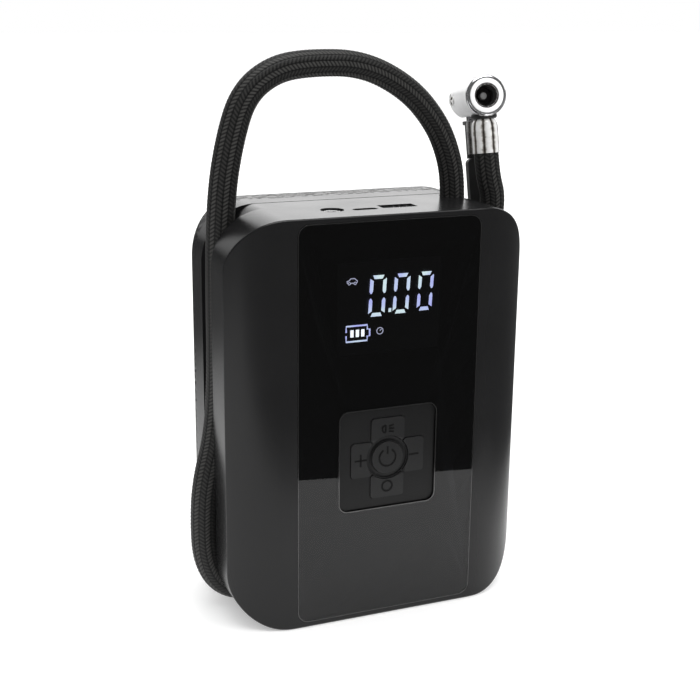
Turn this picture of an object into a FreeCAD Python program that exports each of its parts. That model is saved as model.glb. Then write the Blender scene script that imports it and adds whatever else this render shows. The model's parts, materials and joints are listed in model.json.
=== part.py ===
import FreeCAD, Part

import math
import os

import Sketcher
from FreeCAD import Placement, Rotation, Vector

# Portable tire inflator with a flat battery body, a hose that is a carry handle, and a thumb-lock chuck.
# Millimetres. Origin: middle of the body's bottom. +X right, +Y back, +Z up; the display faces -Y.

DIMENSIONS = {
    "body_w": 111.4, "body_h": 145.6, "half_d": 30.0, "corner_r": 19.5, "flat_half": 33.0,
    "crease_y": 18.7, "wall": 2.4, "front_wall": 3.0, "groove_half": 5.6, "groove_deep": 10.6,
    "front_round": 0.9, "rear_round": 6.0, "gap": 0.12,
    "boss_r": 3.1, "pilot_r": 1.5, "well_boss_r": 4.2, "well_r": 3.1, "screw_way_r": 1.7,
    "screw_seat_y": 12.0, "screw_head_r": 2.75, "screw_head_h": 2.2, "screw_shank_r": 1.45,
    "vent_half": 20.0, "vent_high": 2.0,
    "glass_w": 67.2, "glass_z0": 2.1, "glass_z1": 143.8, "glass_r": 4.2, "glass_thick": 1.2,
    "key_z": 59.8, "key_half": 18.2, "key_r": 3.2, "key_sunk": 0.7, "plate_thick": 1.1,
    "key_proud": 0.35, "key_apart": 0.5, "key_post_r": 1.5, "key_post_end": 22.1,
    "ring_out": 8.0, "ring_in": 7.4, "power_r": 5.9, "arm_half": 6.3, "side_reach": 13.8, "tall_reach": 14.6,
    "board_y": 17.0, "board_thick": 1.6, "switch_half": 3.0, "switch_high": 3.5,
    "show_half": 19.0, "show_z0": 98.0, "show_z1": 130.0,
    "digit_wide": 7.4, "digit_tall": 15.6, "digit_pitch": 9.0, "digit_z": 117.9, "digit_x": -4.5,
    "hose_r": 4.6, "outlet_x": 37.4, "outlet_z": 139.0,
    "usb_a_x": 8.6, "usb_a_y": 14.8, "usb_c_x": -4.5, "usb_c_y": 17.3, "lamp_x": -15.8, "lamp_y": 15.5,
    "lamp_r": 4.1, "ledge_z": 130.0,
    "cell_r": 9.2, "cell_len": 65.0, "cell_y": 9.0, "cell_z": 22.8, "cell_pitch": 18.7,
    "motor_x": -26.0, "drive_y": 10.0, "motor_r": 13.85, "motor_z0": 71.7, "motor_z1": 109.5,
    "plate_z": 113.5, "gear_z0": 114.2, "gear_z1": 118.2, "module_mm": 0.75, "gear_play": 0.1,
    "pinion_teeth": 14.0, "gear_teeth": 42.0, "shaft_r": 1.15, "crank_r": 2.5, "throw": 3.0,
    "pin_r": 2.0, "rod_z0": 119.0, "rod_z1": 123.0, "rod_long": 25.0, "wrist_r": 1.5, "running": 0.04,
    "barrel_x0": 13.5, "barrel_x1": 36.3, "bore_r": 10.0, "barrel_r": 12.4, "head_x1": 42.2,
    "pump_z": 121.0, "sensor_z": 112.0, "frame_half": 13.0, "skirt_long": 16.3,
    "chuck_x": 50.5, "chuck_y": 4.0, "chuck_z": 180.45, "chuck_r": 7.3,
    "chuck_nose": 5.5, "chuck_tail": 21.2,
    "valve_bore_r": 3.9, "seal_bore_r": 3.7, "seal_r": 4.9, "well_bore_r": 5.0, "plunger_tail_r": 2.0,
    "stem_r": 3.4, "ferrule_r": 4.9, "ferrule_top": 7.6, "ferrule_low": 20.4, "flute_r": 1.75,
    "lever_y": 10.5, "lever_pin_y": 15.5, "lever_pin_r": 1.5, "slot_half": 3.0, "blade_half": 4.4,
}

doc = FreeCAD.newDocument("tire_inflator")
sheet = doc.addObject("Spreadsheet::Sheet", "dims")
for number, (alias, amount) in enumerate(DIMENSIONS.items(), 1):
    sheet.set(f"A{number}", alias)
    sheet.set(f"B{number}", str(amount))
    sheet.setAlias(f"B{number}", alias)
doc.recompute()


class Size:
    """A length that carries its number and the spreadsheet expression that makes it."""

    def __init__(self, number, text):
        self.number = number
        self.text = text

    @staticmethod
    def of(other):
        return other if isinstance(other, Size) else Size(float(other), f"({other})")

    def join(self, other, sign, number):
        return Size(number, f"({self.text} {sign} {other.text})")

    def __add__(self, other):
        other = Size.of(other)
        return self.join(other, "+", self.number + other.number)

    def __sub__(self, other):
        other = Size.of(other)
        return self.join(other, "-", self.number - other.number)

    def __mul__(self, other):
        other = Size.of(other)
        return self.join(other, "*", self.number * other.number)

    def __truediv__(self, other):
        other = Size.of(other)
        return self.join(other, "/", self.number / other.number)

    def __radd__(self, other):
        return Size.of(other) + self

    def __rsub__(self, other):
        return Size.of(other) - self

    def __rmul__(self, other):
        return Size.of(other) * self

    def __neg__(self):
        return 0 - self

    def __float__(self):
        return self.number


class Sizes:
    """The spreadsheet's cells, read by alias."""

    def __getattr__(self, alias):
        return Size(float(getattr(sheet, alias)), f"dims.{alias}")


d = Sizes()
nodes = {}


# ---------------------------------------------------------------- helpers
def bind(item, prop, size):
    """Bind one property of an object to the spreadsheet."""
    item.setExpression(prop, Size.of(size).text)


def put(item, x, y, z, turn=None):
    """Place an object at bound coordinates."""
    x, y, z = Size.of(x), Size.of(y), Size.of(z)
    item.Placement = Placement(Vector(float(x), float(y), float(z)), turn or Rotation())
    for axis, size in (("x", x), ("y", y), ("z", z)):
        bind(item, f"Placement.Base.{axis}", size)
    return item


def box(name, x, y, z):
    """A block between the two limits given on each axis."""
    item = doc.addObject("Part::Box", name)
    for prop, (low, high) in (("Length", x), ("Width", y), ("Height", z)):
        bind(item, prop, Size.of(high) - low)
    return put(item, x[0], y[0], z[0])


TURNS = {
    "x": Rotation(Vector(0, 1, 0), 90),
    "y": Rotation(Vector(1, 0, 0), -90),
    "z": Rotation(),
}


def rod(name, axis, start, radius, length, far_radius=None):
    """A cylinder, or a cone, that runs from start along +axis."""
    item = doc.addObject("Part::Cylinder" if far_radius is None else "Part::Cone", name)
    if far_radius is None:
        bind(item, "Radius", radius)
    else:
        bind(item, "Radius1", radius)
        bind(item, "Radius2", far_radius)
    bind(item, "Height", length)
    return put(item, *start, turn=TURNS[axis])


def join(name, *parts):
    item = doc.addObject("Part::MultiFuse", name)
    item.Shapes = list(parts)
    return item


def cut(name, base, *tools):
    item = doc.addObject("Part::Cut", name)
    item.Base = base
    item.Tool = tools[0] if len(tools) == 1 else join(name + "_tools", *tools)
    return item


def common(name, base, tool):
    item = doc.addObject("Part::Common", name)
    item.Base = base
    item.Tool = tool
    return item


def group(name, *parts):
    """Separate solids kept in one node."""
    item = doc.addObject("Part::Compound", name)
    item.Links = list(parts)
    return item


def feature(name, shape):
    item = doc.addObject("Part::Feature", name)
    item.Shape = shape
    return item


def node(label, item):
    """Name an object as a finished sub-part."""
    item.Label = label
    nodes[label] = item
    return item


def sketch_on(body, role, name, offset=0):
    """A sketch on one of the body's own origin planes, moved along the plane's normal."""
    sketch = body.newObject("Sketcher::SketchObject", name)
    plane = [item for item in body.Origin.OriginFeatures if item.Role == role][0]
    sketch.AttachmentSupport = [(plane, "")]
    sketch.MapMode = "FlatFace"
    sketch.AttachmentOffset = Placement(Vector(0, 0, float(offset)), Rotation())
    if isinstance(offset, Size):
        bind(sketch, "AttachmentOffset.Base.z", offset)
    return sketch


def limit(sketch, kind, *where, size):
    """Add one dimension to a sketch and bind it."""
    index = sketch.addConstraint(Sketcher.Constraint(kind, *where, float(size)))
    if isinstance(size, Size):
        bind(sketch, f"Constraints[{index}]", size)


def rounded_rectangle(sketch, left, right, low, high, radius):
    """Four tangent lines and arcs, fixed by four sides and one radius."""
    x0, x1, y0, y1, r = (float(size) for size in (left, right, low, high, radius))
    first = sketch.GeometryCount
    corners = ((x1 - r, y0 + r, -90), (x1 - r, y1 - r, 0), (x0 + r, y1 - r, 90), (x0 + r, y0 + r, 180))
    ends = (
        (x0 + r, y0, x1 - r, y0),
        (x1, y0 + r, x1, y1 - r),
        (x1 - r, y1, x0 + r, y1),
        (x0, y1 - r, x0, y0 + r),
    )
    for (ax, ay, bx, by), (cx, cy, angle) in zip(ends, corners):
        sketch.addGeometry(Part.LineSegment(Vector(ax, ay, 0), Vector(bx, by, 0)))
        circle = Part.Circle(Vector(cx, cy, 0), Vector(0, 0, 1), r)
        sketch.addGeometry(Part.ArcOfCircle(circle, math.radians(angle), math.radians(angle + 90)))
    for step in range(8):
        here, after = first + step, first + (step + 1) % 8
        sketch.addConstraint(Sketcher.Constraint("Tangent", here, 2, after, 1))
    for line, kind in ((0, "Horizontal"), (2, "Vertical"), (4, "Horizontal"), (6, "Vertical")):
        sketch.addConstraint(Sketcher.Constraint(kind, first + line))
    for arc in (3, 5, 7):
        sketch.addConstraint(Sketcher.Constraint("Equal", first + 1, first + arc))
    limit(sketch, "Radius", first + 1, size=radius)
    limit(sketch, "DistanceX", -1, 1, first + 6, 1, size=left)
    limit(sketch, "DistanceX", -1, 1, first + 2, 1, size=right)
    limit(sketch, "DistanceY", -1, 1, first, 1, size=low)
    limit(sketch, "DistanceY", -1, 1, first + 4, 1, size=high)


def pad(body, sketch, length, name="pad", reverse=False):
    item = body.newObject("PartDesign::Pad", name)
    item.Profile = sketch
    item.Reversed = reverse
    bind(item, "Length", length)
    return item


def slab(name, x, z, radius, y):
    """A rounded plate in the XZ plane, between two limits on Y."""
    body = doc.addObject("PartDesign::Body", name)
    sketch = sketch_on(body, "XZ_Plane", name + "_outline", -Size.of(y[1]))
    rounded_rectangle(sketch, x[0], x[1], z[0], z[1], radius)
    pad(body, sketch, Size.of(y[1]) - y[0], name + "_pad")
    return body


def ring(name, axis, start, outer, inner, length):
    """A flat tube: an outer cylinder less an inner one of the same length."""
    disc = rod(name + "_disc", axis, start, outer, length)
    hole = rod(name + "_hole", axis, start, inner, length)
    return cut(name, disc, hole)


def edges_like(shape, test):
    """Names of the edges whose middle point and direction pass the test."""
    names = []
    for index, edge in enumerate(shape.Edges, 1):
        middle = edge.valueAt((edge.FirstParameter + edge.LastParameter) / 2)
        way = edge.tangentAt((edge.FirstParameter + edge.LastParameter) / 2)
        if test(middle, way):
            names.append(f"Edge{index}")
    return names


# ---------------------------------------------------------------- housing shells
def roll_radius():
    """Radius of the arc that rolls the front and back faces away towards the side creases."""
    across = d.body_w / 2 - d.flat_half
    back = d.half_d - d.crease_y
    return (across * across + back * back) / (2 * back)


def pillow(name, side, inset, face_inset, seam):
    """Half of the body: a rounded block whose outer face rolls back at both sides.

    side is -1 for the front half and +1 for the back half.
    """
    body = doc.addObject("PartDesign::Body", name)
    outline = sketch_on(body, "XZ_Plane", name + "_outline", seam)
    half = d.body_w / 2 - inset
    rounded_rectangle(outline, -half, half, inset, d.body_h - inset, d.corner_r - inset)
    pad(body, outline, d.half_d - face_inset - seam, name + "_pad", reverse=side > 0)
    if side > 0:
        bind(outline, "AttachmentOffset.Base.z", -seam)
    roll = sketch_on(body, "XY_Plane", name + "_roll")
    face = float(d.half_d - face_inset)
    radius = float(roll_radius() - face_inset)
    centre_y = float(d.half_d - roll_radius())
    edge = float(half)
    x0 = float(d.flat_half)
    meet = centre_y + math.sqrt(radius ** 2 - (edge - x0) ** 2)
    outside = 2.0
    corners = (
        (edge, meet),
        (edge + outside, meet),
        (edge + outside, face + outside),
        (x0, face + outside),
        (x0, face),
    )
    for hand in (-1, 1):
        first = roll.GeometryCount
        points = [Vector(hand * x, side * y, 0) for x, y in corners]
        for start, end in zip(points, points[1:]):
            roll.addGeometry(Part.LineSegment(start, end))
        lean = math.atan2(meet - centre_y, edge - x0)
        halfway = (lean + math.pi / 2) / 2
        across = x0 + radius * math.cos(halfway)
        back = centre_y + radius * math.sin(halfway)
        middle = Vector(hand * across, side * back, 0)
        arc = Part.Arc(points[4], middle, points[0])
        roll.addGeometry(arc)
        for step in range(3):
            roll.addConstraint(Sketcher.Constraint("Coincident", first + step, 2, first + step + 1, 1))
        limit(roll, "Radius", first + 4, size=roll_radius() - face_inset)
    trim = body.newObject("PartDesign::Pocket", name + "_trim")
    trim.Profile = roll
    trim.Type = "ThroughAll"
    trim.Reversed = True
    return body


def neck(name, inset, y):
    """The waist between the two halves, whose outer wall is the floor of the hose groove."""
    half = d.body_w / 2 - d.groove_deep - inset
    groove_corner = d.corner_r - d.groove_deep
    low, high = d.groove_deep + inset, d.body_h - inset
    waist = slab(name + "_waist", (-half, half), (low, high), groove_corner - inset, y)
    crown_half = d.body_w / 2 - inset
    crown = slab(name + "_crown", (-crown_half, crown_half), (inset, high), d.corner_r - inset, y)
    return common(name, waist, crown)


def round_loop(body, side, radius, name):
    """Round the whole rim between the outer face and the side walls."""
    doc.recompute()
    limit_y = float(d.crease_y) - 0.01
    x0 = float(d.flat_half)

    def on_rim(middle, way):
        smooth = abs(abs(middle.x) - x0) < 0.01 and abs(way.z) > 0.9
        return side * middle.y > limit_y and not smooth

    tip = body.Tip
    item = body.newObject("PartDesign::Fillet", name)
    item.Base = (tip, edges_like(tip.Shape, on_rim))
    bind(item, "Radius", radius)
    return item


SCREWS = ((-39.0, 18.5), (39.0, 18.5), (-38.5, 136.5), (39.0, 98.0))
VENT_HEIGHTS = (84, 89, 94, 99, 104, 109)


def glass_seats(face):
    """Pockets and windows in the front face for the glass, the keypad and the display."""
    play = 0.08
    half = d.glass_w / 2 + play
    low, high = d.glass_z0 - play, d.glass_z1 + play
    seat = slab("glass_seat", (-half, half), (low, high), d.glass_r + play, (face - 1, face + d.glass_thick))
    plate_half = d.key_half + 0.1
    across = (-plate_half, plate_half)
    upright = (d.key_z - plate_half, d.key_z + plate_half)
    plate = slab("plate_seat", across, upright, d.key_r, (face, face + d.key_sunk + d.plate_thick))
    through = (face, face + d.front_wall + 1)
    wide, tall = d.side_reach + 1.6, d.tall_reach + 1.2
    window = slab("key_window", (-wide, wide), (d.key_z - tall, d.key_z + tall), 2.0, through)
    show = box("show_window", (-d.show_half, d.show_half), through, (d.show_z0, d.show_z1))
    return [seat, plate, window, show]


def top_openings():
    """The two sockets' slots, the lamp's hole and the hose's outlet."""
    low, high = d.body_h - d.wall - 1, d.body_h + 1
    usb_a_x = (d.usb_a_x - 6.5, d.usb_a_x + 6.5)
    usb_a = box("usb_a_slot", usb_a_x, (-d.usb_a_y - 3.0, -d.usb_a_y + 3.0), (low, high))
    half, radius = 2.9, 1.6
    usb_c_x = (d.usb_c_x - half, d.usb_c_x + half)
    usb_c = box("usb_c_slot", usb_c_x, (-d.usb_c_y - radius, -d.usb_c_y + radius), (low, high))
    ends = []
    for hand in (-1, 1):
        start = (d.usb_c_x + hand * half, -d.usb_c_y, low)
        ends.append(rod(f"usb_c_end_{hand}", "z", start, radius, high - low))
    lamp = rod("lamp_hole", "z", (d.lamp_x, -d.lamp_y, low), d.lamp_r, high - low)
    outlet_low = d.outlet_z - 5.5
    outlet = rod("outlet_hole", "z", (d.outlet_x, 0, outlet_low), d.hose_r + 0.25, high - outlet_low)
    return [usb_a, usb_c, *ends, lamp, outlet]


def front_shell():
    block = pillow("front_block", -1, 0, 0, d.groove_half)
    round_loop(block, -1, d.front_round, "front_rim")
    waist = neck("front_waist", 0, (-d.groove_half, d.groove_half))
    room = pillow("front_room", -1, d.wall, d.front_wall, d.groove_half + d.wall)
    passage = neck("front_passage", d.wall, (-d.groove_half - d.wall, d.groove_half))
    hollow = cut("front_hollow", join("front_solid", block, waist), room, passage)
    bosses = []
    pilots = []
    boss_y, pilot_y = -(d.half_d - 1.6), -6.0
    for index, (x, z) in enumerate(SCREWS, 1):
        bosses.append(rod(f"front_boss_{index}", "y", (x, boss_y, z), d.boss_r, d.groove_half - boss_y))
        pilots.append(rod(f"front_pilot_{index}", "y", (x, pilot_y, z), d.pilot_r, d.groove_half - pilot_y))
    body = join("front_with_bosses", hollow, *bosses)
    openings = glass_seats(-d.half_d) + top_openings()
    node("front_shell", cut("front_shell", body, *openings, *pilots))


def rear_shell():
    block = pillow("rear_block", 1, 0, 0, d.groove_half)
    round_loop(block, 1, d.rear_round, "rear_rim")
    room = pillow("rear_room", 1, d.wall, d.wall, d.groove_half + d.wall)
    round_loop(room, 1, d.rear_round - d.wall, "rear_room_rim")
    passage = neck("rear_passage", d.wall, (d.groove_half, d.groove_half + d.wall))
    hollow = cut("rear_hollow", block, room, passage)
    bosses = []
    wells = []
    boss_long = d.half_d - d.groove_half - 1.4
    well_long = d.half_d - d.screw_seat_y + 1
    for index, (x, z) in enumerate(SCREWS, 1):
        bosses.append(rod(f"rear_boss_{index}", "y", (x, d.groove_half, z), d.well_boss_r, boss_long))
        wells.append(rod(f"rear_well_{index}", "y", (x, d.screw_seat_y, z), d.well_r, well_long))
        wells.append(rod(f"rear_way_{index}", "y", (x, d.groove_half - 1, z), d.screw_way_r, d.screw_seat_y))
    vents = []
    through = (d.half_d - d.wall - 1, d.half_d + 1)
    for index, z in enumerate(VENT_HEIGHTS, 1):
        vents.append(box(f"vent_{index}", (-d.vent_half, d.vent_half), through, (z, z + d.vent_high)))
    inside = common("rear_bosses_in", join("rear_boss_set", *bosses), block)
    body = join("rear_with_bosses", inside, hollow)
    node("rear_shell", cut("rear_shell", body, *wells, *vents))


def housing_screws():
    """Four screws with a cross slot, which go in from the back."""
    parts = []
    seat = d.screw_seat_y
    shank_y = -5.5
    slot = (seat + d.screw_head_h / 2, seat + d.screw_head_h + 0.1)
    for index, (x, z) in enumerate(SCREWS, 1):
        head = rod(f"screw_head_{index}", "y", (x, seat, z), d.screw_head_r, d.screw_head_h)
        shank = rod(f"screw_shank_{index}", "y", (x, shank_y, z), d.screw_shank_r, seat - shank_y)
        cross = []
        for turn, (wide, tall) in enumerate(((1.6, 0.4), (0.4, 1.6))):
            name = f"screw_cross_{index}_{turn}"
            cross.append(box(name, (x - wide, x + wide), slot, (z - tall, z + tall)))
        parts.append(cut(f"screw_{index}", join(f"screw_solid_{index}", head, shank), *cross))
    node("housing_screws", group("housing_screws", *parts))


# ---------------------------------------------------------------- front panel and keys
def display_glass():
    face = -d.half_d
    across = (-d.glass_w / 2, d.glass_w / 2)
    pane = slab("glass_pane", across, (d.glass_z0, d.glass_z1), d.glass_r, (face, face + d.glass_thick))
    upright = (d.key_z - d.key_half, d.key_z + d.key_half)
    through = (face - 1, face + d.glass_thick + 1)
    opening = slab("glass_opening", (-d.key_half, d.key_half), upright, d.key_r, through)
    node("display_glass", cut("display_glass", pane, opening))


def key_shape(name, which, grow, y):
    """The outline of one key as a solid; grow makes the same outline larger for its hole."""
    long = Size.of(y[1]) - y[0]
    if which == "power":
        return rod(name, "y", (0, y[0], d.key_z), d.power_r + grow, long)
    side = (d.power_r - 3 - grow, d.side_reach + grow)
    tall = (d.power_r - 3 - grow, d.tall_reach + grow)
    arm = d.arm_half + grow
    spans = {
        "plus": ((-side[1], -side[0]), (d.key_z - arm, d.key_z + arm)),
        "minus": (side, (d.key_z - arm, d.key_z + arm)),
        "lamp": ((-arm, arm), (d.key_z + tall[0], d.key_z + tall[1])),
        "mode": ((-arm, arm), (d.key_z - tall[1], d.key_z - tall[0])),
    }
    x, z = spans[which]
    blank = slab(name + "_blank", x, z, 1.2, y)
    bite = rod(name + "_bite", "y", (0, y[0], d.key_z), d.ring_out - grow, long)
    across, up = KEY_SIDE[which]
    apart = d.key_apart - grow
    wedge = box(name + "_wedge", (0, 40), y, (0, 40))
    turn = Rotation(Vector(0, 1, 0), math.degrees(math.atan2(across, up)) - 45)
    put(wedge, across * apart, y[0], d.key_z + up * apart, turn)
    return common(name, cut(name + "_bitten", blank, bite), wedge)


KEYS = ("power", "lamp", "plus", "minus", "mode")
KEY_SIDE = {"power": (0, 0), "lamp": (0, 1), "plus": (-1, 0), "minus": (1, 0), "mode": (0, -1)}


def key_centre(which):
    """Where a key's post and its switch stand."""
    across, up = KEY_SIDE[which]
    return across * (d.side_reach - 3.0), d.key_z + up * (d.tall_reach - 3.6)


def key_button(which, face):
    """A key's cap, the flange that keeps it behind the plate, and the post that works its switch."""
    back = face + d.plate_thick
    x, z = key_centre(which)
    cap = key_shape(f"{which}_cap", which, 0, (face - d.key_proud, back + 0.1))
    flange = key_shape(f"{which}_flange", which, 0.55, (back, back + 0.8))
    if which != "power":
        keep = key_shape(f"{which}_keep", which, 0.0, (face, face + 3))
        flange = common(f"{which}_flange_in", flange, keep)
    post = rod(f"{which}_post", "y", (x, back, z), d.key_post_r, -d.key_post_end - back)
    return join(f"{which}_button", cap, flange, post)


def keypad():
    """The sunk plate with its ring groove, and the five keys in it."""
    face = -d.half_d + d.key_sunk
    half = d.key_half - 0.1
    through = (face, face + d.plate_thick)
    plate = slab("keypad_blank", (-half, half), (d.key_z - half, d.key_z + half), d.key_r - 0.1, through)
    clear = (face - 1, face + d.plate_thick + 1)
    holes = [key_shape(f"{which}_hole", which, d.gap, clear) for which in KEYS]
    groove = ring("keypad_ring", "y", (0, face - 1, d.key_z), d.ring_in, d.power_r + 0.5, 1.35)
    node("keypad_plate", cut("keypad_plate", plate, groove, *holes))
    for which in KEYS:
        node(f"{which}_button", key_button(which, face))


BAR_THICK = 1.35
BAR_LEAN = 0.12
BAR_DEEP = 0.5


def segment(x, z, long_x, long_z):
    """One bar of a digit with pointed ends, leaning with the digit."""
    tip = BAR_THICK / 2
    half_x, half_z = long_x / 2, long_z / 2
    if long_x > long_z:
        points = (
            (-half_x, 0), (-half_x + tip, -tip), (half_x - tip, -tip),
            (half_x, 0), (half_x - tip, tip), (-half_x + tip, tip),
        )
    else:
        points = (
            (0, -half_z), (tip, -half_z + tip), (tip, half_z - tip),
            (0, half_z), (-tip, half_z - tip), (-tip, -half_z + tip),
        )
    middle = float(d.digit_z)
    depth = float(-d.half_d + d.glass_thick + 0.3)
    corners = [Vector(x + px + BAR_LEAN * (z + pz - middle), depth, z + pz) for px, pz in points]
    outline = Part.makePolygon(corners + corners[:1])
    return Part.Face(outline).extrude(Vector(0, BAR_DEEP, 0))


def zero_digit(x, z, wide, tall):
    """The six lit bars of a 0."""
    level = (tall - BAR_THICK) / 2
    spread = (wide - BAR_THICK) / 2
    bars = []
    for up in (-1, 1):
        bars.append(segment(x, z + up * level, wide - BAR_THICK - 0.3, 0))
        for hand in (-1, 1):
            bars.append(segment(x + hand * spread, z + up * level / 2, 0, level - 0.3))
    return bars


def display():
    """The display block behind the glass, and its light bars that show 0.00."""
    front = -d.half_d + d.glass_thick + 0.3
    across = (-d.show_half + 0.3, d.show_half - 0.3)
    case = box("display_case", across, (front, -d.board_y), (d.show_z0 + 0.3, d.show_z1 - 0.3))
    wide, tall, pitch = float(d.digit_wide), float(d.digit_tall), float(d.digit_pitch)
    left, z = float(d.digit_x), float(d.digit_z)
    bars = []
    for digit in range(3):
        bars += zero_digit(left + digit * pitch, z, wide, tall)
    dot_wide = 1.2
    dot_corner = Vector(left + pitch / 2 - 1.1, float(front), z - tall / 2)
    bars.append(Part.makeBox(dot_wide, BAR_DEEP, dot_wide, dot_corner))
    lights = feature("display_bars", Part.makeCompound(bars))
    node("display_segments", lights)
    node("display_module", cut("display_module", case, lights))


def main_board():
    """The board behind the keys, with notches round the screw bosses."""
    left, right, low, high = -40.0, 44.0, 20.0, d.ledge_z - 2
    board = box("board_blank", (left, right), (-d.board_y, -d.board_y + d.board_thick), (low, high))
    notches = []
    for index, (x, z) in enumerate(SCREWS, 1):
        notches.append(rod(f"board_notch_{index}", "y", (x, -d.board_y - 1, z), 3.5, 4))
    node("main_board", cut("main_board", board, *notches))


def tact_switches():
    """One switch under each key's post."""
    switches = []
    half = d.switch_half
    face = -d.board_y - d.switch_high
    for which in KEYS:
        x, z = key_centre(which)
        body = box(f"{which}_switch_body", (x - half, x + half), (face, -d.board_y), (z - half, z + half))
        top = rod(f"{which}_switch_top", "y", (x, face - 0.9, z), 1.7, 1.0)
        switches.append(join(f"{which}_switch", body, top))
    node("tact_switches", group("tact_switches", *switches))


def port_board_and_sensor():
    """The small board under the sockets, and the pressure sensor with its tube."""
    ledge = (d.ledge_z, d.ledge_z + d.board_thick)
    node("port_board", box("ledge_blank", (-24.0, 20.0), (-23.0, -8.0), ledge))
    back = -d.board_y + d.board_thick
    sensor_deep, nipple_long = 5.0, 1.4
    x, z = d.head_x1 - 2.9, d.sensor_z
    body = box("sensor_body", (x - 3.3, x + 3.1), (back, back + sensor_deep), (z - 3.4, z + 3.4))
    nipple = rod("sensor_nipple", "y", (x, back + sensor_deep, z), 0.9, nipple_long)
    node("pressure_sensor", join("pressure_sensor", body, nipple))
    tube_start = back + sensor_deep + nipple_long
    tube_long = d.drive_y - d.frame_half - tube_start
    node("sensor_tube", rod("sensor_tube", "y", (x, tube_start, z), 1.5, tube_long))


def boards():
    main_board()
    tact_switches()
    port_board_and_sensor()


def centred_box(name, centre, half, z):
    """A block with its middle at centre in the top view, between two heights."""
    x = (centre[0] - half[0], centre[0] + half[0])
    y = (centre[1] - half[1], centre[1] + half[1])
    return box(name, x, y, z)


def usb_a_port(base, top):
    centre = (d.usb_a_x, -d.usb_a_y)
    shell = centred_box("usb_a_outer", centre, (6.4, 2.9), (base, top))
    room = centred_box("usb_a_room", centre, (6.0, 2.5), (base + 2, top + 1))
    tongue_centre = (d.usb_a_x, -d.usb_a_y + 1.35)
    tongue = centred_box("usb_a_tongue", tongue_centre, (5.6, 0.85), (base + 1, top - 0.8))
    node("usb_a_port", join("usb_a_port", cut("usb_a_shell", shell, room), tongue))


def usb_c_port(base, top):
    half = 2.9

    def stadium(name, radius, low, high):
        """A flat tube outline with round ends."""
        centre = (d.usb_c_x, -d.usb_c_y)
        middle = centred_box(name + "_middle", centre, (half, radius), (low, high))
        sides = []
        for hand in (-1, 1):
            start = (d.usb_c_x + hand * half, -d.usb_c_y, low)
            sides.append(rod(f"{name}_side_{hand}", "z", start, radius, high - low))
        return join(name, middle, *sides)

    outer = stadium("usb_c_outer", 1.55, base, top)
    room = stadium("usb_c_room", 1.25, base + 2, top + 1)
    can = cut("usb_c_can", outer, room)
    blade = centred_box("usb_c_blade", (d.usb_c_x, -d.usb_c_y), (3.3, 0.35), (base + 1, top - 0.6))
    node("usb_c_port", join("usb_c_port", can, blade))


def lamp(base):
    """A torch lamp: reflector cup, LED and lens."""
    x, y = d.lamp_x, -d.lamp_y
    led_r, led_high = 1.7, 5.2
    cup_top = d.body_h - 1.2
    cup = rod("cup_outer", "z", (x, y, base), d.lamp_r - 0.3, cup_top - base)
    bowl = rod("cup_bowl", "z", (x, y, base + 4), led_r + 0.1, cup_top - base - 4, d.lamp_r - 0.7)
    seat = rod("cup_seat", "z", (x, y, base - 1), led_r + 0.1, 6)
    node("lamp_reflector", cut("lamp_reflector", cup, bowl, seat))
    stem = rod("led_stem", "z", (x, y, base), led_r, led_high)
    dome = rod("led_dome", "z", (x, y, base + led_high), led_r, 1.2, 0.8)
    node("lamp_led", join("lamp_led", stem, dome))
    node("lamp_lens", rod("lamp_lens", "z", (x, y, cup_top), d.lamp_r - 0.05, 1.0))


def ports():
    base = d.ledge_z + d.board_thick
    top = d.body_h - 0.6
    usb_a_port(base, top)
    usb_c_port(base, top)
    lamp(base)


# ---------------------------------------------------------------- battery and motor
def battery():
    """Three cells lying across the body, one above the other, in a holder with saddles."""
    cells = []
    saddles = []
    button_long = 1.2
    end = d.cell_len / 2
    for index in range(3):
        z = d.cell_z + index * d.cell_pitch
        can = rod(f"cell_{index}", "x", (-end, d.cell_y, z), d.cell_r, d.cell_len - button_long)
        button = rod(f"cell_button_{index}", "x", (end - button_long, d.cell_y, z), 2.8, button_long)
        cells.append(join(f"cell_body_{index}", can, button))
        saddles.append(rod(f"saddle_{index}", "x", (-end - 2, d.cell_y, z), d.cell_r + 0.1, d.cell_len + 4))
    node("battery_cells", group("battery_cells", *cells))
    low = d.cell_z - d.cell_r - 0.4
    high = d.cell_z + 2 * d.cell_pitch + d.cell_r + 0.4
    front, bar_wide = -d.cell_r + 4.6, 5.0
    bars = []
    for index, x in enumerate((-30.0, -2.5, 25.0)):
        bars.append(box(f"holder_bar_{index}", (x, x + bar_wide), (front, d.cell_y - 2.2), (low, high)))
    spine = box("holder_back", (-30.0, 30.0), (front - 1.6, front), (low, high))
    frame = cut("holder_frame", join("holder_bars", *bars), join("holder_saddles", *saddles))
    node("battery_holder", join("battery_holder", frame, spine))


def motor():
    """A motor can with cooling slots, its end cap and its shaft."""
    x, y = d.motor_x, d.drive_y
    can = rod("motor_blank", "z", (x, y, d.motor_z0), d.motor_r, d.motor_z1 - d.motor_z0)
    core = rod("motor_core", "z", (x, y, d.motor_z0 + 2.4), d.shaft_r + d.running, 60)
    slots = []
    for hand in (-1, 1):
        centre = (x + hand * (d.motor_r - 0.55), y)
        slots.append(centred_box(f"motor_slot_{hand}", centre, (0.6, 3.0), (d.motor_z0 + 6, d.motor_z0 + 12)))
    node("motor_can", cut("motor_can", can, core, *slots))
    cap_high = 1.4
    node("motor_cap", rod("motor_cap_disc", "z", (x, y, d.motor_z0 - cap_high), 10.0, cap_high))
    shaft_low = d.motor_z0 + 2.6
    shaft_top = d.gear_z1 + 0.6
    node("motor_shaft", rod("motor_shaft", "z", (x, y, shaft_low), d.shaft_r, shaft_top - shaft_low))


def polar(radius, angle):
    return Vector(radius * math.cos(angle), radius * math.sin(angle), 0)


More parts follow.
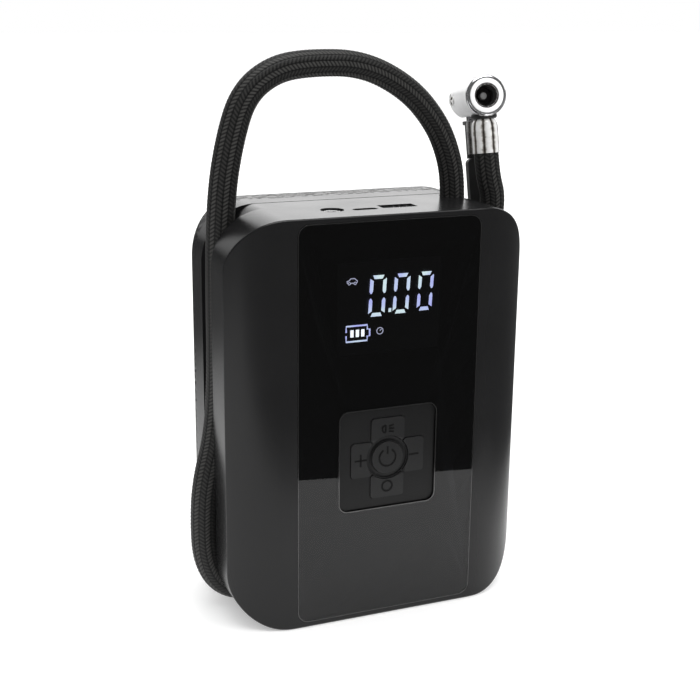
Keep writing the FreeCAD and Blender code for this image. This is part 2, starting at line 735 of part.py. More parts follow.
def involute_wheel(name, teeth, tip_factor, centre, turn, hole):
    """A spur gear with involute flanks, thinned by the gear play."""
    module_mm, play = float(d.module_mm), float(d.gear_play)
    pitch = module_mm * teeth / 2
    base = pitch * math.cos(math.radians(20))
    tip = pitch + tip_factor * module_mm
    root = pitch - 1.25 * module_mm
    start = max(base, root)

    def roll(radius):
        angle = math.acos(min(1.0, base / radius))
        return math.tan(angle) - angle

    half_pitch = math.pi / (2 * teeth) - play / (2 * pitch)
    flank = []
    steps = 6
    for step in range(steps + 1):
        radius = start + (tip - start) * step / steps
        flank.append((radius, half_pitch + roll(pitch) - roll(radius)))
    if start > root:
        flank.insert(0, (root, flank[0][1]))
    outline = []
    for tooth in range(int(teeth)):
        middle = 2 * math.pi * tooth / teeth + math.radians(turn)
        outline += [polar(radius, middle - angle) for radius, angle in flank]
        outline += [polar(radius, middle + angle) for radius, angle in reversed(flank)]
    wheel = Part.Face(Part.makePolygon(outline + outline[:1]))
    disc = wheel.extrude(Vector(0, 0, float(d.gear_z1 - d.gear_z0)))
    bore = Part.makeCylinder(hole, 20, Vector(0, 0, -5))
    return put(feature(name, disc.cut(bore)), centre[0], centre[1], d.gear_z0)


def gear_centre():
    """The crank gear sits at mesh distance from the pinion, towards +X."""
    return d.motor_x + d.module_mm * (d.pinion_teeth + d.gear_teeth) / 2, d.drive_y


def drive_pinion():
    half_tooth = 180.0 / float(d.pinion_teeth)
    teeth, hole = float(d.pinion_teeth), float(d.shaft_r)
    node("drive_pinion", involute_wheel("drive_pinion", teeth, 0.9, (d.motor_x, d.drive_y), half_tooth, hole))


def crank(cx, cy, pin_x):
    """The crank gear with its light holes, its shaft and the crank pin."""
    teeth, hole = float(d.gear_teeth), float(d.crank_r)
    wheel = involute_wheel("crank_gear_blank", teeth, 0.8, (cx, cy), 0.0, hole)
    holes = []
    for index in range(3):
        spot = polar(9.5, math.radians(60 + 120 * index))
        start = (cx + spot.x, cy + spot.y, d.gear_z0 - 1)
        holes.append(rod(f"crank_gear_hole_{index}", "z", start, 2.6, 6))
    pin_low = d.gear_z0 + 2
    pin_seat = rod("crank_gear_pin_seat", "z", (pin_x, cy, pin_low), d.pin_r, 6)
    disc = rod("crank_web", "z", (cx, cy, d.gear_z0), 6.4, d.gear_z1 - d.gear_z0)
    web = cut("crank_web_cut", disc, rod("crank_web_hole", "z", (cx, cy, d.gear_z0 - 1), d.crank_r, 2.8))
    node("crank_gear", cut("crank_gear", join("crank_gear_solid", wheel, web), pin_seat, *holes))
    shaft_low, shaft_top = 104.6, d.gear_z0 + 1.8
    node("crank_shaft", rod("crank_shaft", "z", (cx, cy, shaft_low), d.crank_r, shaft_top - shaft_low))
    node("crank_pin", rod("crank_pin", "z", (pin_x, cy, pin_low), d.pin_r, d.rod_z1 + 0.8 - pin_low))
    bearing_high = 4
    bearing_start = (cx, cy, d.plate_z - bearing_high)
    node("crank_bearing", ring("crank_bearing", "z", bearing_start, 5.0, d.crank_r + d.running, bearing_high))


def connecting_rod(cy, pin_x):
    """The rod from the crank pin to the wrist pin."""
    high = d.rod_z1 - d.rod_z0
    small_x = pin_x + d.rod_long
    big = rod("rod_big_end", "z", (pin_x, cy, d.rod_z0), 4.6, high)
    small = rod("rod_small_end", "z", (small_x, cy, d.rod_z0), 3.4, high)
    beam = box("rod_beam", (pin_x, small_x), (cy - 2.0, cy + 2.0), (d.rod_z0 + 0.6, d.rod_z1 - 0.6))
    big_eye = rod("rod_eye_big", "z", (pin_x, cy, d.rod_z0 - 1), d.pin_r + d.running, 8)
    small_eye = rod("rod_eye_small", "z", (small_x, cy, d.rod_z0 - 1), d.wrist_r, 8)
    node("connecting_rod", cut("connecting_rod", join("rod_solid", big, small, beam), big_eye, small_eye))
    pin_long = 10.0
    pin_start = (small_x, cy, d.pump_z - pin_long / 2)
    node("wrist_pin", rod("wrist_pin", "z", pin_start, d.wrist_r, pin_long))


def drive_train():
    cx, cy = gear_centre()
    pin_x = cx - d.throw
    drive_pinion()
    crank(cx, cy, pin_x)
    connecting_rod(cy, pin_x)


# ---------------------------------------------------------------- compressor
def piston(cy):
    crown = d.barrel_x0 + d.skirt_long
    seal_start = (crown - 2.1, cy, d.pump_z)
    seal_wide = 1.2
    skirt = rod("piston_skirt", "x", (d.barrel_x0, cy, d.pump_z), d.bore_r - d.running, d.skirt_long)
    hollow = rod("piston_hollow", "x", (d.barrel_x0 - 1, cy, d.pump_z), d.bore_r - 1.9, 14.6)
    seal_seat = ring("piston_seal_seat", "x", seal_start, 12, d.bore_r - 1.2, seal_wide)
    node("piston", cut("piston", skirt, hollow, seal_seat))
    node("piston_seal", ring("piston_seal", "x", seal_start, d.bore_r - 0.02, d.bore_r - 1.2, seal_wide))


def cylinder(cy):
    """The finned barrel and the valve plate that closes it."""
    fins = []
    for index in range(6):
        start = (d.barrel_x0 + 2.5 + 3.2 * index, cy, d.pump_z)
        fins.append(ring(f"barrel_fin_{index}", "x", start, d.barrel_r + 0.8, d.bore_r + 0.5, 1.3))
    long = d.barrel_x1 - d.barrel_x0
    barrel = ring("barrel_tube", "x", (d.barrel_x0, cy, d.pump_z), d.barrel_r - 1.0, d.bore_r, long)
    node("cylinder", join("cylinder", barrel, *fins))
    node("valve_plate", ring("valve_plate", "x", (d.barrel_x1, cy, d.pump_z), d.barrel_r, 1.6, 1.0))


def bolt_places(cy):
    """The four head bolts, as Y and Z."""
    return [(cy + side * 10.6, d.pump_z + up * 10.4) for side in (-1, 1) for up in (-1, 1)]


def cylinder_head(cy):
    half = d.frame_half
    block = (d.barrel_x1 + 1, d.head_x1)
    head = box("head_block", block, (cy - half, cy + half), (d.pump_z - 12.6, d.pump_z + half))
    tap = rod("head_tap", "y", (d.head_x1 - 2.9, cy - half - 1, d.sensor_z), 0.9, 4)
    ways = []
    bolts = []
    for index, (y, z) in enumerate(bolt_places(cy)):
        ways.append(rod(f"head_way_{index}", "x", (d.barrel_x1, y, z), 1.3, 9))
        bolts.append(rod(f"head_bolt_{index}", "x", (d.barrel_x0, y, z), 1.25, d.head_x1 - d.barrel_x0))
    node("cylinder_head", cut("cylinder_head", head, tap, *ways))
    node("head_bolts", group("head_bolts", *bolts))


def gearbox_frame(cx, cy):
    """The L-shaped frame that carries the bearing, the motor and the cylinder, with the motor's screws."""
    half = d.frame_half
    low = d.plate_z - 4
    floor_x = (d.motor_x - half - 0.5, d.barrel_x0)
    floor = box("frame_floor", floor_x, (cy - half, cy + half), (low, d.plate_z))
    wall_x = (d.barrel_x0 - 1.6, d.barrel_x0)
    wall = box("frame_wall", wall_x, (cy - half, cy + half), (low, d.pump_z + half))
    holes = [
        rod("frame_bearing_seat", "z", (cx, cy, low - 1), 5.0, 6),
        rod("frame_motor_seat", "z", (d.motor_x, cy, low - 1), 3.2, 6),
        rod("frame_bore", "x", (d.barrel_x0 - 3, cy, d.pump_z), d.bore_r, 6),
    ]
    for index, (y, z) in enumerate(bolt_places(cy)):
        holes.append(rod(f"frame_thread_{index}", "x", (d.barrel_x0 - 3, y, z), 1.25, 6))
    screws = []
    for hand in (-1, 1):
        y = cy + hand * 8
        holes.append(rod(f"frame_fixing_{hand}", "z", (d.motor_x, y, low - 1), 1.25, 6))
        shank = rod(f"motor_screw_shank_{hand}", "z", (d.motor_x, y, low), 1.2, 4)
        head = rod(f"motor_screw_head_{hand}", "z", (d.motor_x, y, d.plate_z), 1.9, 0.6)
        screws.append(join(f"motor_screw_{hand}", shank, head))
    node("gearbox_frame", cut("gearbox_frame", join("frame_solid", floor, wall), *holes))
    node("motor_screws", group("motor_screws", *screws))


def outlet_fitting():
    """The fitting on top of the cylinder head that the hose is pushed against."""
    foot_z = d.pump_z + d.frame_half
    foot = rod("fitting_foot", "z", (d.outlet_x, 0, foot_z), 4.2, 2.0)
    collar = rod("fitting_collar", "z", (d.outlet_x, 0, foot_z + 2), 4.8, d.outlet_z - foot_z - 2)
    node("outlet_fitting", join("outlet_fitting", foot, collar))


def compressor():
    cx, cy = gear_centre()
    piston(cy)
    cylinder(cy)
    cylinder_head(cy)
    gearbox_frame(cx, cy)
    outlet_fitting()


def leads():
    """Leads from the battery to the board and from the board to the motor."""
    board = float(-d.board_y + d.board_thick)
    lead_r = 0.6
    battery_leads = []
    motor_leads = []
    for hand in (-1, 1):
        x = 37.0 + 1.3 * hand
        z = 72.0 + 1.5 * hand
        low = 60.2 + 2 * hand
        route = [(33.2, 9.0, low), (x, 7.0, low + 2.8), (x, -3.0, z), (x, board, z)]
        battery_leads.append(cord(route, lead_r)[0])
        x = float(d.motor_x) + 3.0 * hand
        z = float(d.motor_z0) - 0.7
        route = [(x, 0.2, z), (x, -5.0, z), (x - 3, -10.5, z), (x - 3, board, z)]
        motor_leads.append(cord(route, lead_r)[0])
    node("battery_leads", feature("battery_leads", Part.makeCompound(battery_leads)))
    node("motor_leads", feature("motor_leads", Part.makeCompound(motor_leads)))


# ---------------------------------------------------------------- hose
HOSE_ROUTE = [
    (37.4, 0.0, 139.0), (37.4, 0.0, 149.0), (35.6, 0.0, 159.8), (30.1, 0.0, 172.0), (19.0, 0.0, 184.1),
    (1.3, 0.0, 192.9), (-18.6, 0.0, 193.3), (-31.5, 0.0, 191.1), (-41.8, 0.0, 183.0), (-46.6, 0.0, 168.4),
    (-49.8, 0.0, 151.0), (-51.0, 0.0, 126.0), (-51.1, 0.0, 84.0), (-53.2, -0.3, 64.0), (-57.8, -0.6, 47.0),
    (-58.6, -0.6, 31.0), (-57.9, -0.5, 19.0), (-53.6, -0.3, 9.8), (-45.6, -0.1, 5.0), (-34.0, 0.0, 4.9),
    (-16.0, 0.0, 5.1), (14.0, 0.0, 4.9), (30.0, 0.0, 5.0), (40.2, 0.0, 5.1), (47.2, 0.0, 8.8),
    (51.0, 0.0, 15.8), (51.1, 0.0, 30.0), (51.0, 0.0, 56.0), (51.1, 0.0, 98.0), (51.2, 0.0, 116.0),
    (52.6, 0.0, 131.0), (54.4, -0.2, 144.0),
]


def cord(points, radius):
    """A round tube along straight runs joined by tangent arcs, with its length and smallest arc."""
    points = [Vector(*point) for point in points]
    edges = []
    here = points[0]
    radii = []
    for before, corner, after in zip(points, points[1:], points[2:]):
        into = (corner - before).normalize()
        out = (after - corner).normalize()
        half_turn = into.getAngle(out) / 2
        shorter = min(before.distanceToPoint(corner), corner.distanceToPoint(after))
        reach = 0.45 * shorter
        radii.append(reach / math.tan(half_turn))
        first = corner - into * reach
        last = corner + out * reach
        inward = (out - into).normalize()
        middle = corner + inward * (radii[-1] / math.cos(half_turn) - radii[-1])
        edges.append(Part.LineSegment(here, first).toShape())
        edges.append(Part.Arc(first, middle, last).toShape())
        here = last
    edges.append(Part.LineSegment(here, points[-1]).toShape())
    path = Part.Wire(edges)
    start = (points[1] - points[0]).normalize()
    profile = Part.Wire(Part.Circle(points[0], start, radius).toShape())
    tube = path.makePipeShell([profile], True, False)
    return tube, path.Length, radii


def chuck_turn():
    """The chuck's own frame: its bore faces local -Y, its stem hangs along local -Z."""
    return Rotation(Vector(0, 0, 1), -13) * Rotation(Vector(1, 0, 0), -8) * Rotation(Vector(0, 1, 0), -4)


def on_chuck(item):
    """Move a piece from the chuck's own frame to its place."""
    return put(item, d.chuck_x, d.chuck_y, d.chuck_z, chuck_turn())


def hose():
    """The hose from the outlet fitting, over the top, round the body's groove and up to the chuck."""
    base = Vector(float(d.chuck_x), float(d.chuck_y), float(d.chuck_z))
    ends = []
    for before in (8.0, 0.0):
        end = Vector(0, 0, -float(d.ferrule_low) - before)
        ends.append(tuple(base + chuck_turn().multVec(end)))
    tube, length, radii = cord(HOSE_ROUTE + ends, float(d.hose_r))
    print("hose length", round(length, 1), "smallest arc", round(min(radii), 1))
    print("hose end", [[round(value, 2) for value in end] for end in ends])
    node("air_hose", feature("air_hose", tube))


# ---------------------------------------------------------------- chuck
def chuck_body():
    """The chuck's metal body: valve bore, seal chamber, plunger guide and the slot for the lever."""
    r = d.chuck_r
    nose = -d.chuck_nose
    lip_long, tail_long = 1.0, 1.2
    barrel_long = d.chuck_nose + d.chuck_tail - lip_long - tail_long
    barrel = rod("chuck_barrel", "y", (0, nose + lip_long, 0), r, barrel_long)
    lip = rod("chuck_lip", "y", (0, nose, 0), r - 0.6, lip_long, r)
    tail = rod("chuck_tail_cone", "y", (0, d.chuck_tail - tail_long, 0), r, tail_long, r - 1.2)
    stem = rod("chuck_stem", "z", (0, 0, -d.ferrule_top), d.stem_r, 4.0)
    bore = rod("chuck_bore", "y", (0, nose - 1, 0), d.valve_bore_r, 12.0)
    well = rod("chuck_well", "y", (0, nose + 2.2, 0), d.well_bore_r, 9.0)
    guide = rod("chuck_guide", "y", (0, nose + 11.0, 0), d.plunger_tail_r + d.running, 3.8)
    slot = box("chuck_slot", (-d.slot_half, d.slot_half), (9.0, d.chuck_tail + 1), (-r - 1, 5.6))
    pin_way = rod("chuck_pin_way", "x", (-r - 1, d.lever_pin_y, 0), d.lever_pin_r + d.running, 2 * r + 2)
    solid = join("chuck_solid", barrel, lip, tail, stem)
    node("chuck_body", on_chuck(cut("chuck_body", solid, bore, well, guide, slot, pin_way)))


def chuck_plunger():
    """The gasket that seals on the valve, and the plunger with the pin that opens it."""
    nose = -d.chuck_nose
    gasket = ring("gasket_ring", "y", (0, nose + 2.4, 0), d.seal_r, d.seal_bore_r, 3.0)
    node("chuck_gasket", on_chuck(gasket))
    push = ring("plunger_ring", "y", (0, nose + 6.4, 0), d.seal_r, d.seal_bore_r, 3.2)
    disc = rod("plunger_disc", "y", (0, nose + 8.6, 0), d.seal_r, 1.0)
    tip = rod("plunger_tip", "y", (0, nose + 4.4, 0), 1.45, 5.0)
    tail = rod("plunger_tail", "y", (0, nose + 9.0, 0), d.plunger_tail_r, 5.3)
    node("chuck_plunger", on_chuck(join("chuck_plunger", push, disc, tip, tail)))


def hose_ferrule():
    """The pressed sleeve on the hose's end, with eight flutes."""
    shoulder_high = 1.6
    shoulder_z = -d.ferrule_top - shoulder_high
    tube = rod("ferrule_tube", "z", (0, 0, -d.ferrule_low), d.ferrule_r, d.ferrule_low + shoulder_z)
    shoulder = rod("ferrule_shoulder", "z", (0, 0, shoulder_z), d.ferrule_r, shoulder_high, d.stem_r)
    flutes = []
    reach = d.ferrule_r + 1.3
    for index in range(8):
        spot = polar(1, math.radians(22.5 + 45 * index))
        start = (reach * spot.x, reach * spot.y, -d.ferrule_low + 1.6)
        flutes.append(rod(f"ferrule_flute_{index}", "z", start, d.flute_r, 8.0))
    node("hose_ferrule", on_chuck(cut("hose_ferrule", join("ferrule_solid", tube, shoulder), *flutes)))


def chuck_lever():
    """The thumb lever with its cam, the pin it turns on and the sleeve on its tip."""
    half = d.slot_half - 0.15
    wide = d.blade_half
    pin_y, y = d.lever_pin_y, d.lever_y
    sleeve_z, blade_z, tongue_z = -22.0, -8.2, -36.0
    tongue_at = ((-2.4, 2.4), (y - 0.8, y + 0.8), (tongue_z, sleeve_z + 2))
    pieces = [
        rod("lever_eye", "x", (-half, pin_y, 0), 3.6, 2 * half),
        box("lever_cam", (-half, half), (9.4, pin_y), (-3.2, 0.4)),
        box("lever_neck", (-half, half), (pin_y - 4.4, pin_y - 1.2), (blade_z - 1.4, 0)),
        box("lever_blade", (-wide, wide), (y - 1.0, y + 1.0), (sleeve_z, blade_z)),
        box("lever_shelf", (-wide, wide), (y - 1.0, pin_y - 1.2), (blade_z - 1.4, blade_z)),
        box("lever_tongue", *tongue_at),
    ]
    eye_way = rod("lever_eye_way", "x", (-9, pin_y, 0), d.lever_pin_r, 18)
    node("chuck_lever", on_chuck(cut("chuck_lever", join("lever_solid", *pieces), eye_way)))
    grip = slab("sleeve_blank", (-wide - 0.4, wide + 0.4), (-39.5, sleeve_z), 2.0, (y - 2.0, y + 2.0))
    node("lever_sleeve", on_chuck(cut("lever_sleeve", grip, box("sleeve_hollow", *tongue_at))))
    pin_end = d.chuck_r + 0.5
    pin = rod("pin_rod", "x", (-pin_end, pin_y, 0), d.lever_pin_r, 2 * pin_end)
    node("lever_pin", on_chuck(group("lever_pin", pin)))


def chuck():
    chuck_body()
    chuck_plunger()
    hose_ferrule()
    chuck_lever()


# ---------------------------------------------------------------- build, check and write
front_shell()
rear_shell()
housing_screws()
display_glass()
keypad()
display()
boards()
ports()
battery()
motor()
drive_train()
compressor()
leads()
hose()
chuck()
doc.recompute()

for item in doc.Objects:
    if "Invalid" in item.State or "Error" in item.State:
        raise RuntimeError(f"{item.Name} ({item.Label}) failed: {item.State}")
for label, item in nodes.items():
    if item.Shape.isNull() or not item.Shape.isValid():
        raise RuntimeError(f"{label} has no valid shape")

os.makedirs("parts", exist_ok=True)
for label, item in nodes.items():
    item.Shape.exportStep(f"parts/{label}.step")
    size = item.Shape.BoundBox
    spans = [(size.XMin, size.XMax), (size.YMin, size.YMax), (size.ZMin, size.ZMax)]
    rounded = [[round(value, 1) for value in span] for span in spans]
    print(label, len(item.Shape.Solids), "solids", round(item.Shape.Volume, 1), "mm3", rounded)
print(len(nodes), "nodes")
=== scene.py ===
import json
import math

import bpy
import numpy as np
from mathutils import Matrix, Vector


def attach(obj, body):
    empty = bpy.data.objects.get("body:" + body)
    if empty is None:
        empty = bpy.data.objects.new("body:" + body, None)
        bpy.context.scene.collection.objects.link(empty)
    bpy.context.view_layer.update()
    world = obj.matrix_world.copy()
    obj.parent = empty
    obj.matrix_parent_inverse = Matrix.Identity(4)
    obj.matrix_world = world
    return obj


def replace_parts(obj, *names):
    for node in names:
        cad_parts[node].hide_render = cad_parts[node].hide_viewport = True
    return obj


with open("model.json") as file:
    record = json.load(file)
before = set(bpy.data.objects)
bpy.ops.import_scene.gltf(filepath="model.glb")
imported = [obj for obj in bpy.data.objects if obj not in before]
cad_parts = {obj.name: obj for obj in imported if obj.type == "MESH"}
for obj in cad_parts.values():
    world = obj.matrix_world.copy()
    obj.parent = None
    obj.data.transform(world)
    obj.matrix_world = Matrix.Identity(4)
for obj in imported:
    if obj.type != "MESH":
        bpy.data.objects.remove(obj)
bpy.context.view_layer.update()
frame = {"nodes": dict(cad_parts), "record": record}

MM = 0.001
NODES = frame["nodes"]


# ---------------------------------------------------------------- camera
def make_camera():
    """A camera placed where the object is looked at from, tilted a little about its own axis."""
    place = Vector((-176.2, -412.6, 216.8)) * MM
    yaw, pitch, roll = (math.radians(angle) for angle in (22.867, 15.67, 0.635))
    ahead = Vector((math.sin(yaw) * math.cos(pitch), math.cos(yaw) * math.cos(pitch), -math.sin(pitch)))
    level = Vector((math.cos(yaw), -math.sin(yaw), 0))
    above = level.cross(ahead)
    right = math.cos(roll) * level + math.sin(roll) * above
    up = math.cos(roll) * above - math.sin(roll) * level
    data = bpy.data.cameras.new("camera")
    data.sensor_width = 36
    data.lens = 65.92
    data.clip_start = 0.01
    data.clip_end = 20
    camera = bpy.data.objects.new("camera", data)
    camera.matrix_world = Matrix.Translation(place) @ Matrix((right, up, -ahead)).transposed().to_4x4()
    bpy.context.scene.collection.objects.link(camera)
    bpy.context.scene.camera = camera


# ---------------------------------------------------------------- mesh helpers
def link(name, mesh, body, material, smooth_angle=35):
    """Make a piece of the mesh, give it a material and let it ride on a body."""
    piece = bpy.data.objects.new(name, mesh)
    bpy.context.scene.collection.objects.link(piece)
    mesh.materials.append(material)
    if smooth_angle is not None:
        mesh.shade_smooth()
        mesh.set_sharp_from_angle(angle=math.radians(smooth_angle))
    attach(piece, body)
    return piece


def mesh_of(name, points, faces):
    mesh = bpy.data.meshes.new(name)
    mesh.from_pydata([tuple(point) for point in points], [], faces)
    mesh.validate()
    return mesh


def grid_mesh(name, rows, closed_rows=False, cap=False):
    """A quad mesh through rows of points; each row is a closed ring."""
    count = len(rows[0])
    points = [point for row in rows for point in row]
    faces = []
    last = len(rows) if closed_rows else len(rows) - 1
    for i in range(last):
        for k in range(count):
            a, b = i * count + k, i * count + (k + 1) % count
            c, e = ((i + 1) % len(rows)) * count + (k + 1) % count, ((i + 1) % len(rows)) * count + k
            faces.append((a, b, c, e))
    if cap:
        faces.append(tuple(range(count - 1, -1, -1)))
        first = (len(rows) - 1) * count
        faces.append(tuple(range(first, first + count)))
    return mesh_of(name, points, faces)


def lathe(profile, axis_frame, sides=96):
    """Rings of points for a turned shape: profile holds (radius, distance along the frame's Z)."""
    rings = []
    for radius, along in profile:
        ring = []
        for k in range(sides):
            angle = 2 * math.pi * k / sides
            ring.append(axis_frame @ Vector((radius * math.cos(angle), radius * math.sin(angle), along)))
        rings.append(ring)
    return rings


# ---------------------------------------------------------------- hose
HOSE_ROUTE = [Vector(point) * MM for point in (
    (37.4, 0.0, 139.0), (37.4, 0.0, 149.0), (35.6, 0.0, 159.8), (30.1, 0.0, 172.0), (19.0, 0.0, 184.1),
    (1.3, 0.0, 192.9), (-18.6, 0.0, 193.3), (-31.5, 0.0, 191.1), (-41.8, 0.0, 183.0), (-46.6, 0.0, 168.4),
    (-49.8, 0.0, 151.0), (-51.0, 0.0, 126.0), (-51.1, 0.0, 84.0), (-53.2, -0.3, 64.0), (-57.8, -0.6, 47.0),
    (-58.6, -0.6, 31.0), (-57.9, -0.5, 19.0), (-53.6, -0.3, 9.8), (-45.6, -0.1, 5.0), (-34.0, 0.0, 4.9),
    (-16.0, 0.0, 5.1), (14.0, 0.0, 4.9), (30.0, 0.0, 5.0), (40.2, 0.0, 5.1), (47.2, 0.0, 8.8),
    (51.0, 0.0, 15.8), (51.1, 0.0, 30.0), (51.0, 0.0, 56.0), (51.1, 0.0, 98.0), (51.2, 0.0, 116.0),
    (52.6, 0.0, 131.0), (54.4, -0.2, 144.0), (51.5, -0.3, 152.4), (51.2, 0.9, 160.3),
)]
# Places along the hose from its outlet, as shares of its length, and its radius there.
HOSE_RADII = ((0.0, 0.0045), (0.12, 0.0045), (0.24, 0.0049), (0.62, 0.0049), (0.72, 0.00455), (1.0, 0.00455))
BRAID_COLUMNS = 14
BRAID_PITCH = 0.00135
BRAID_DEEP = 0.0003
# Distance between the rings of the hose's mesh.
HOSE_STEP = 0.00034


def spline_points(route, resolution=24):
    """Points along the smooth NURBS line that has the route's points as its control points."""
    curve = bpy.data.curves.new("hose_line", "CURVE")
    curve.dimensions = "3D"
    curve.resolution_u = resolution
    spline = curve.splines.new("NURBS")
    spline.points.add(len(route) - 1)
    for place, point in zip(spline.points, route):
        place.co = (*point, 1)
    spline.order_u = 3
    spline.use_endpoint_u = True
    holder = bpy.data.objects.new("hose_line", curve)
    bpy.context.scene.collection.objects.link(holder)
    bpy.context.view_layer.update()
    mesh = bpy.data.meshes.new_from_object(holder.evaluated_get(bpy.context.evaluated_depsgraph_get()))
    points = np.array([vertex.co for vertex in mesh.vertices])
    bpy.data.objects.remove(holder)
    return points


def evenly(points, step):
    """The same line with its points an even step apart."""
    runs = np.linalg.norm(np.diff(points, axis=0), axis=1)
    along = np.concatenate(([0], np.cumsum(runs)))
    places = np.linspace(0, along[-1], int(along[-1] / step) + 1)
    return np.stack([np.interp(places, along, points[:, axis]) for axis in range(3)], axis=1), places


def carried_frames(points):
    """Two directions square to the line at each point, carried along it without twist."""
    tangents = np.gradient(points, axis=0)
    tangents /= np.linalg.norm(tangents, axis=1)[:, None]
    side = np.cross(tangents[0], (0, 1, 0))
    side /= np.linalg.norm(side)
    sides = []
    for tangent in tangents:
        side = side - tangent * (side @ tangent)
        side /= np.linalg.norm(side)
        sides.append(side)
    sides = np.array(sides)
    return sides, np.cross(tangents, sides)


def braid(u, v):
    """Height from 0 to 1 of a herringbone braid: u runs along it in strand pitches, v round it in turns."""
    right = u + v * BRAID_COLUMNS
    left = u - v * BRAID_COLUMNS
    column = np.floor(v * BRAID_COLUMNS).astype(int)
    on_top = np.where(column % 2 == 0, right, left)
    across = np.abs((on_top % 1) * 2 - 1)
    along = np.abs((v * BRAID_COLUMNS % 1) * 2 - 1)
    strand = np.sqrt(np.clip(1 - across ** 2, 0, 1))
    float_rise = np.sqrt(np.clip(1 - along ** 4, 0, 1))
    return strand * (0.35 + 0.65 * float_rise), column % 2


def make_hose():
    """The braided tube: each strand of the braid stands up in the mesh, and its columns lean in turn."""
    line, places = evenly(spline_points(HOSE_ROUTE), HOSE_STEP)
    sides, others = carried_frames(line)
    count = 140
    v = np.arange(count) / count
    u = places / BRAID_PITCH
    grid_u, grid_v = np.meshgrid(u, v, indexing="ij")
    height, lean = braid(grid_u, grid_v)
    shares, radii = zip(*HOSE_RADII)
    outside = np.interp(places / places[-1], shares, radii)
    radius = outside[:, None] - BRAID_DEEP + BRAID_DEEP * height
    angle = 2 * np.pi * grid_v
    ring = np.cos(angle)[..., None] * sides[:, None, :] + np.sin(angle)[..., None] * others[:, None, :]
    points = line[:, None, :] + radius[..., None] * ring
    mesh = bpy.data.meshes.new("hose")
    rows = len(line)
    index = np.arange(rows * count).reshape(rows, count)
    quads = np.stack([index[:-1], np.roll(index, -1, 1)[:-1], np.roll(index, -1, 1)[1:], index[1:]], axis=-1)
    faces = [tuple(face) for face in quads.reshape(-1, 4).tolist()]
    faces.append(tuple(index[0][::-1].tolist()))
    faces.append(tuple(index[-1].tolist()))
    mesh.from_pydata(points.reshape(-1, 3).tolist(), [], faces)
    # The "braid" attribute carries painted shade and sheen: low in the gaps between strands, and a fifth
    # lower on the columns that lean the other way.
    painted_shade_and_sheen = mesh.attributes.new("braid", "FLOAT", "POINT")
    painted_shade_and_sheen.data.foreach_set("value", (height * (0.8 + 0.2 * lean)).astype(np.float32).ravel())
    around = mesh.attributes.new("yarn", "FLOAT_VECTOR", "POINT")
    flow = np.where(lean == 1, grid_u - grid_v * BRAID_COLUMNS, grid_u + grid_v * BRAID_COLUMNS)
    vectors = np.stack([flow, grid_v * BRAID_COLUMNS, lean.astype(float)], axis=-1).astype(np.float32)
    around.data.foreach_set("vector", vectors.ravel())
    hose = link("hose", mesh, "housing", MATERIALS["braid_black"], smooth_angle=None)
    mesh.shade_smooth()
    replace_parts(hose, "air_hose")
    return hose, line[::8]


# ---------------------------------------------------------------- chuck
CHUCK = (Matrix.Translation(Vector((50.5, 4.0, 180.45)) * MM) @ Matrix.Rotation(math.radians(-13), 4, "Z")
         @ Matrix.Rotation(math.radians(-8), 4, "X") @ Matrix.Rotation(math.radians(-4), 4, "Y"))


def turned(name, profile, axis_frame, body, material, closed=False):
    """A turned piece; the profile is in millimetres."""
    rings = lathe([(radius * MM, along * MM) for radius, along in profile], axis_frame)
    return link(name, grid_mesh(name, rings, closed_rows=closed), body, material, smooth_angle=50)


def nose_ring():
    """The face round the valve bore, white with painted reflection, the polished bevel at its rim and the
    dark lining of the bore.
    """
    nose = CHUCK @ Matrix.Rotation(math.radians(90), 4, "X")
    face = ((4.42, 5.45), (4.46, 5.62), (4.56, 5.78), (4.8, 5.82), (6.0, 5.82), (6.12, 5.72), (6.12, 5.3),
            (4.42, 5.2))
    turned("nose_face", face, nose, "housing", MATERIALS["nickel"], closed=True)
    rim = ((6.1, 5.4), (6.16, 5.7), (6.3, 5.74), (6.8, 5.5), (7.2, 5.1), (7.4, 4.7), (7.46, 4.2), (7.4, 3.75),
           (7.3, 3.5), (6.7, 4.4), (6.3, 5.2))
    turned("nose_rim", rim, nose, "housing", MATERIALS["bright_rim"], closed=True)
    bore = ((4.44, 5.5), (4.44, 5.6), (4.1, 5.54), (3.86, 5.3), (3.84, 3.15), (3.88, 3.12), (3.9, 5.5))
    turned("bore_lining", bore, nose, "housing", MATERIALS["plunger_dark"], closed=True)


def valve_pin():
    """The pale cap on the plunger's tip, seen at the bottom of the bore; it rides on the plunger."""
    nose = CHUCK @ Matrix.Rotation(math.radians(90), 4, "X")
    cap = ((0.01, 1.35), (0.6, 1.32), (1.1, 1.2), (1.42, 0.9), (1.5, 0.5), (1.5, -0.8), (1.46, -0.9),
           (0.01, -0.9))
    turned("valve_pin", cap, nose, "plunger", MATERIALS["plunger_grey"])


def neck_dark_ring():
    """A black ring round the stem between the chuck's barrel and the ferrule, darkening the band between
    them.
    """
    profile = ((3.42, -8.1), (4.3, -8.1), (4.6, -7.8), (4.7, -7.2), (4.6, -6.5), (4.2, -6.2), (3.42, -6.2))
    turned("neck_dark_ring", profile, CHUCK, "housing", MATERIALS["seal_black"], closed=True)


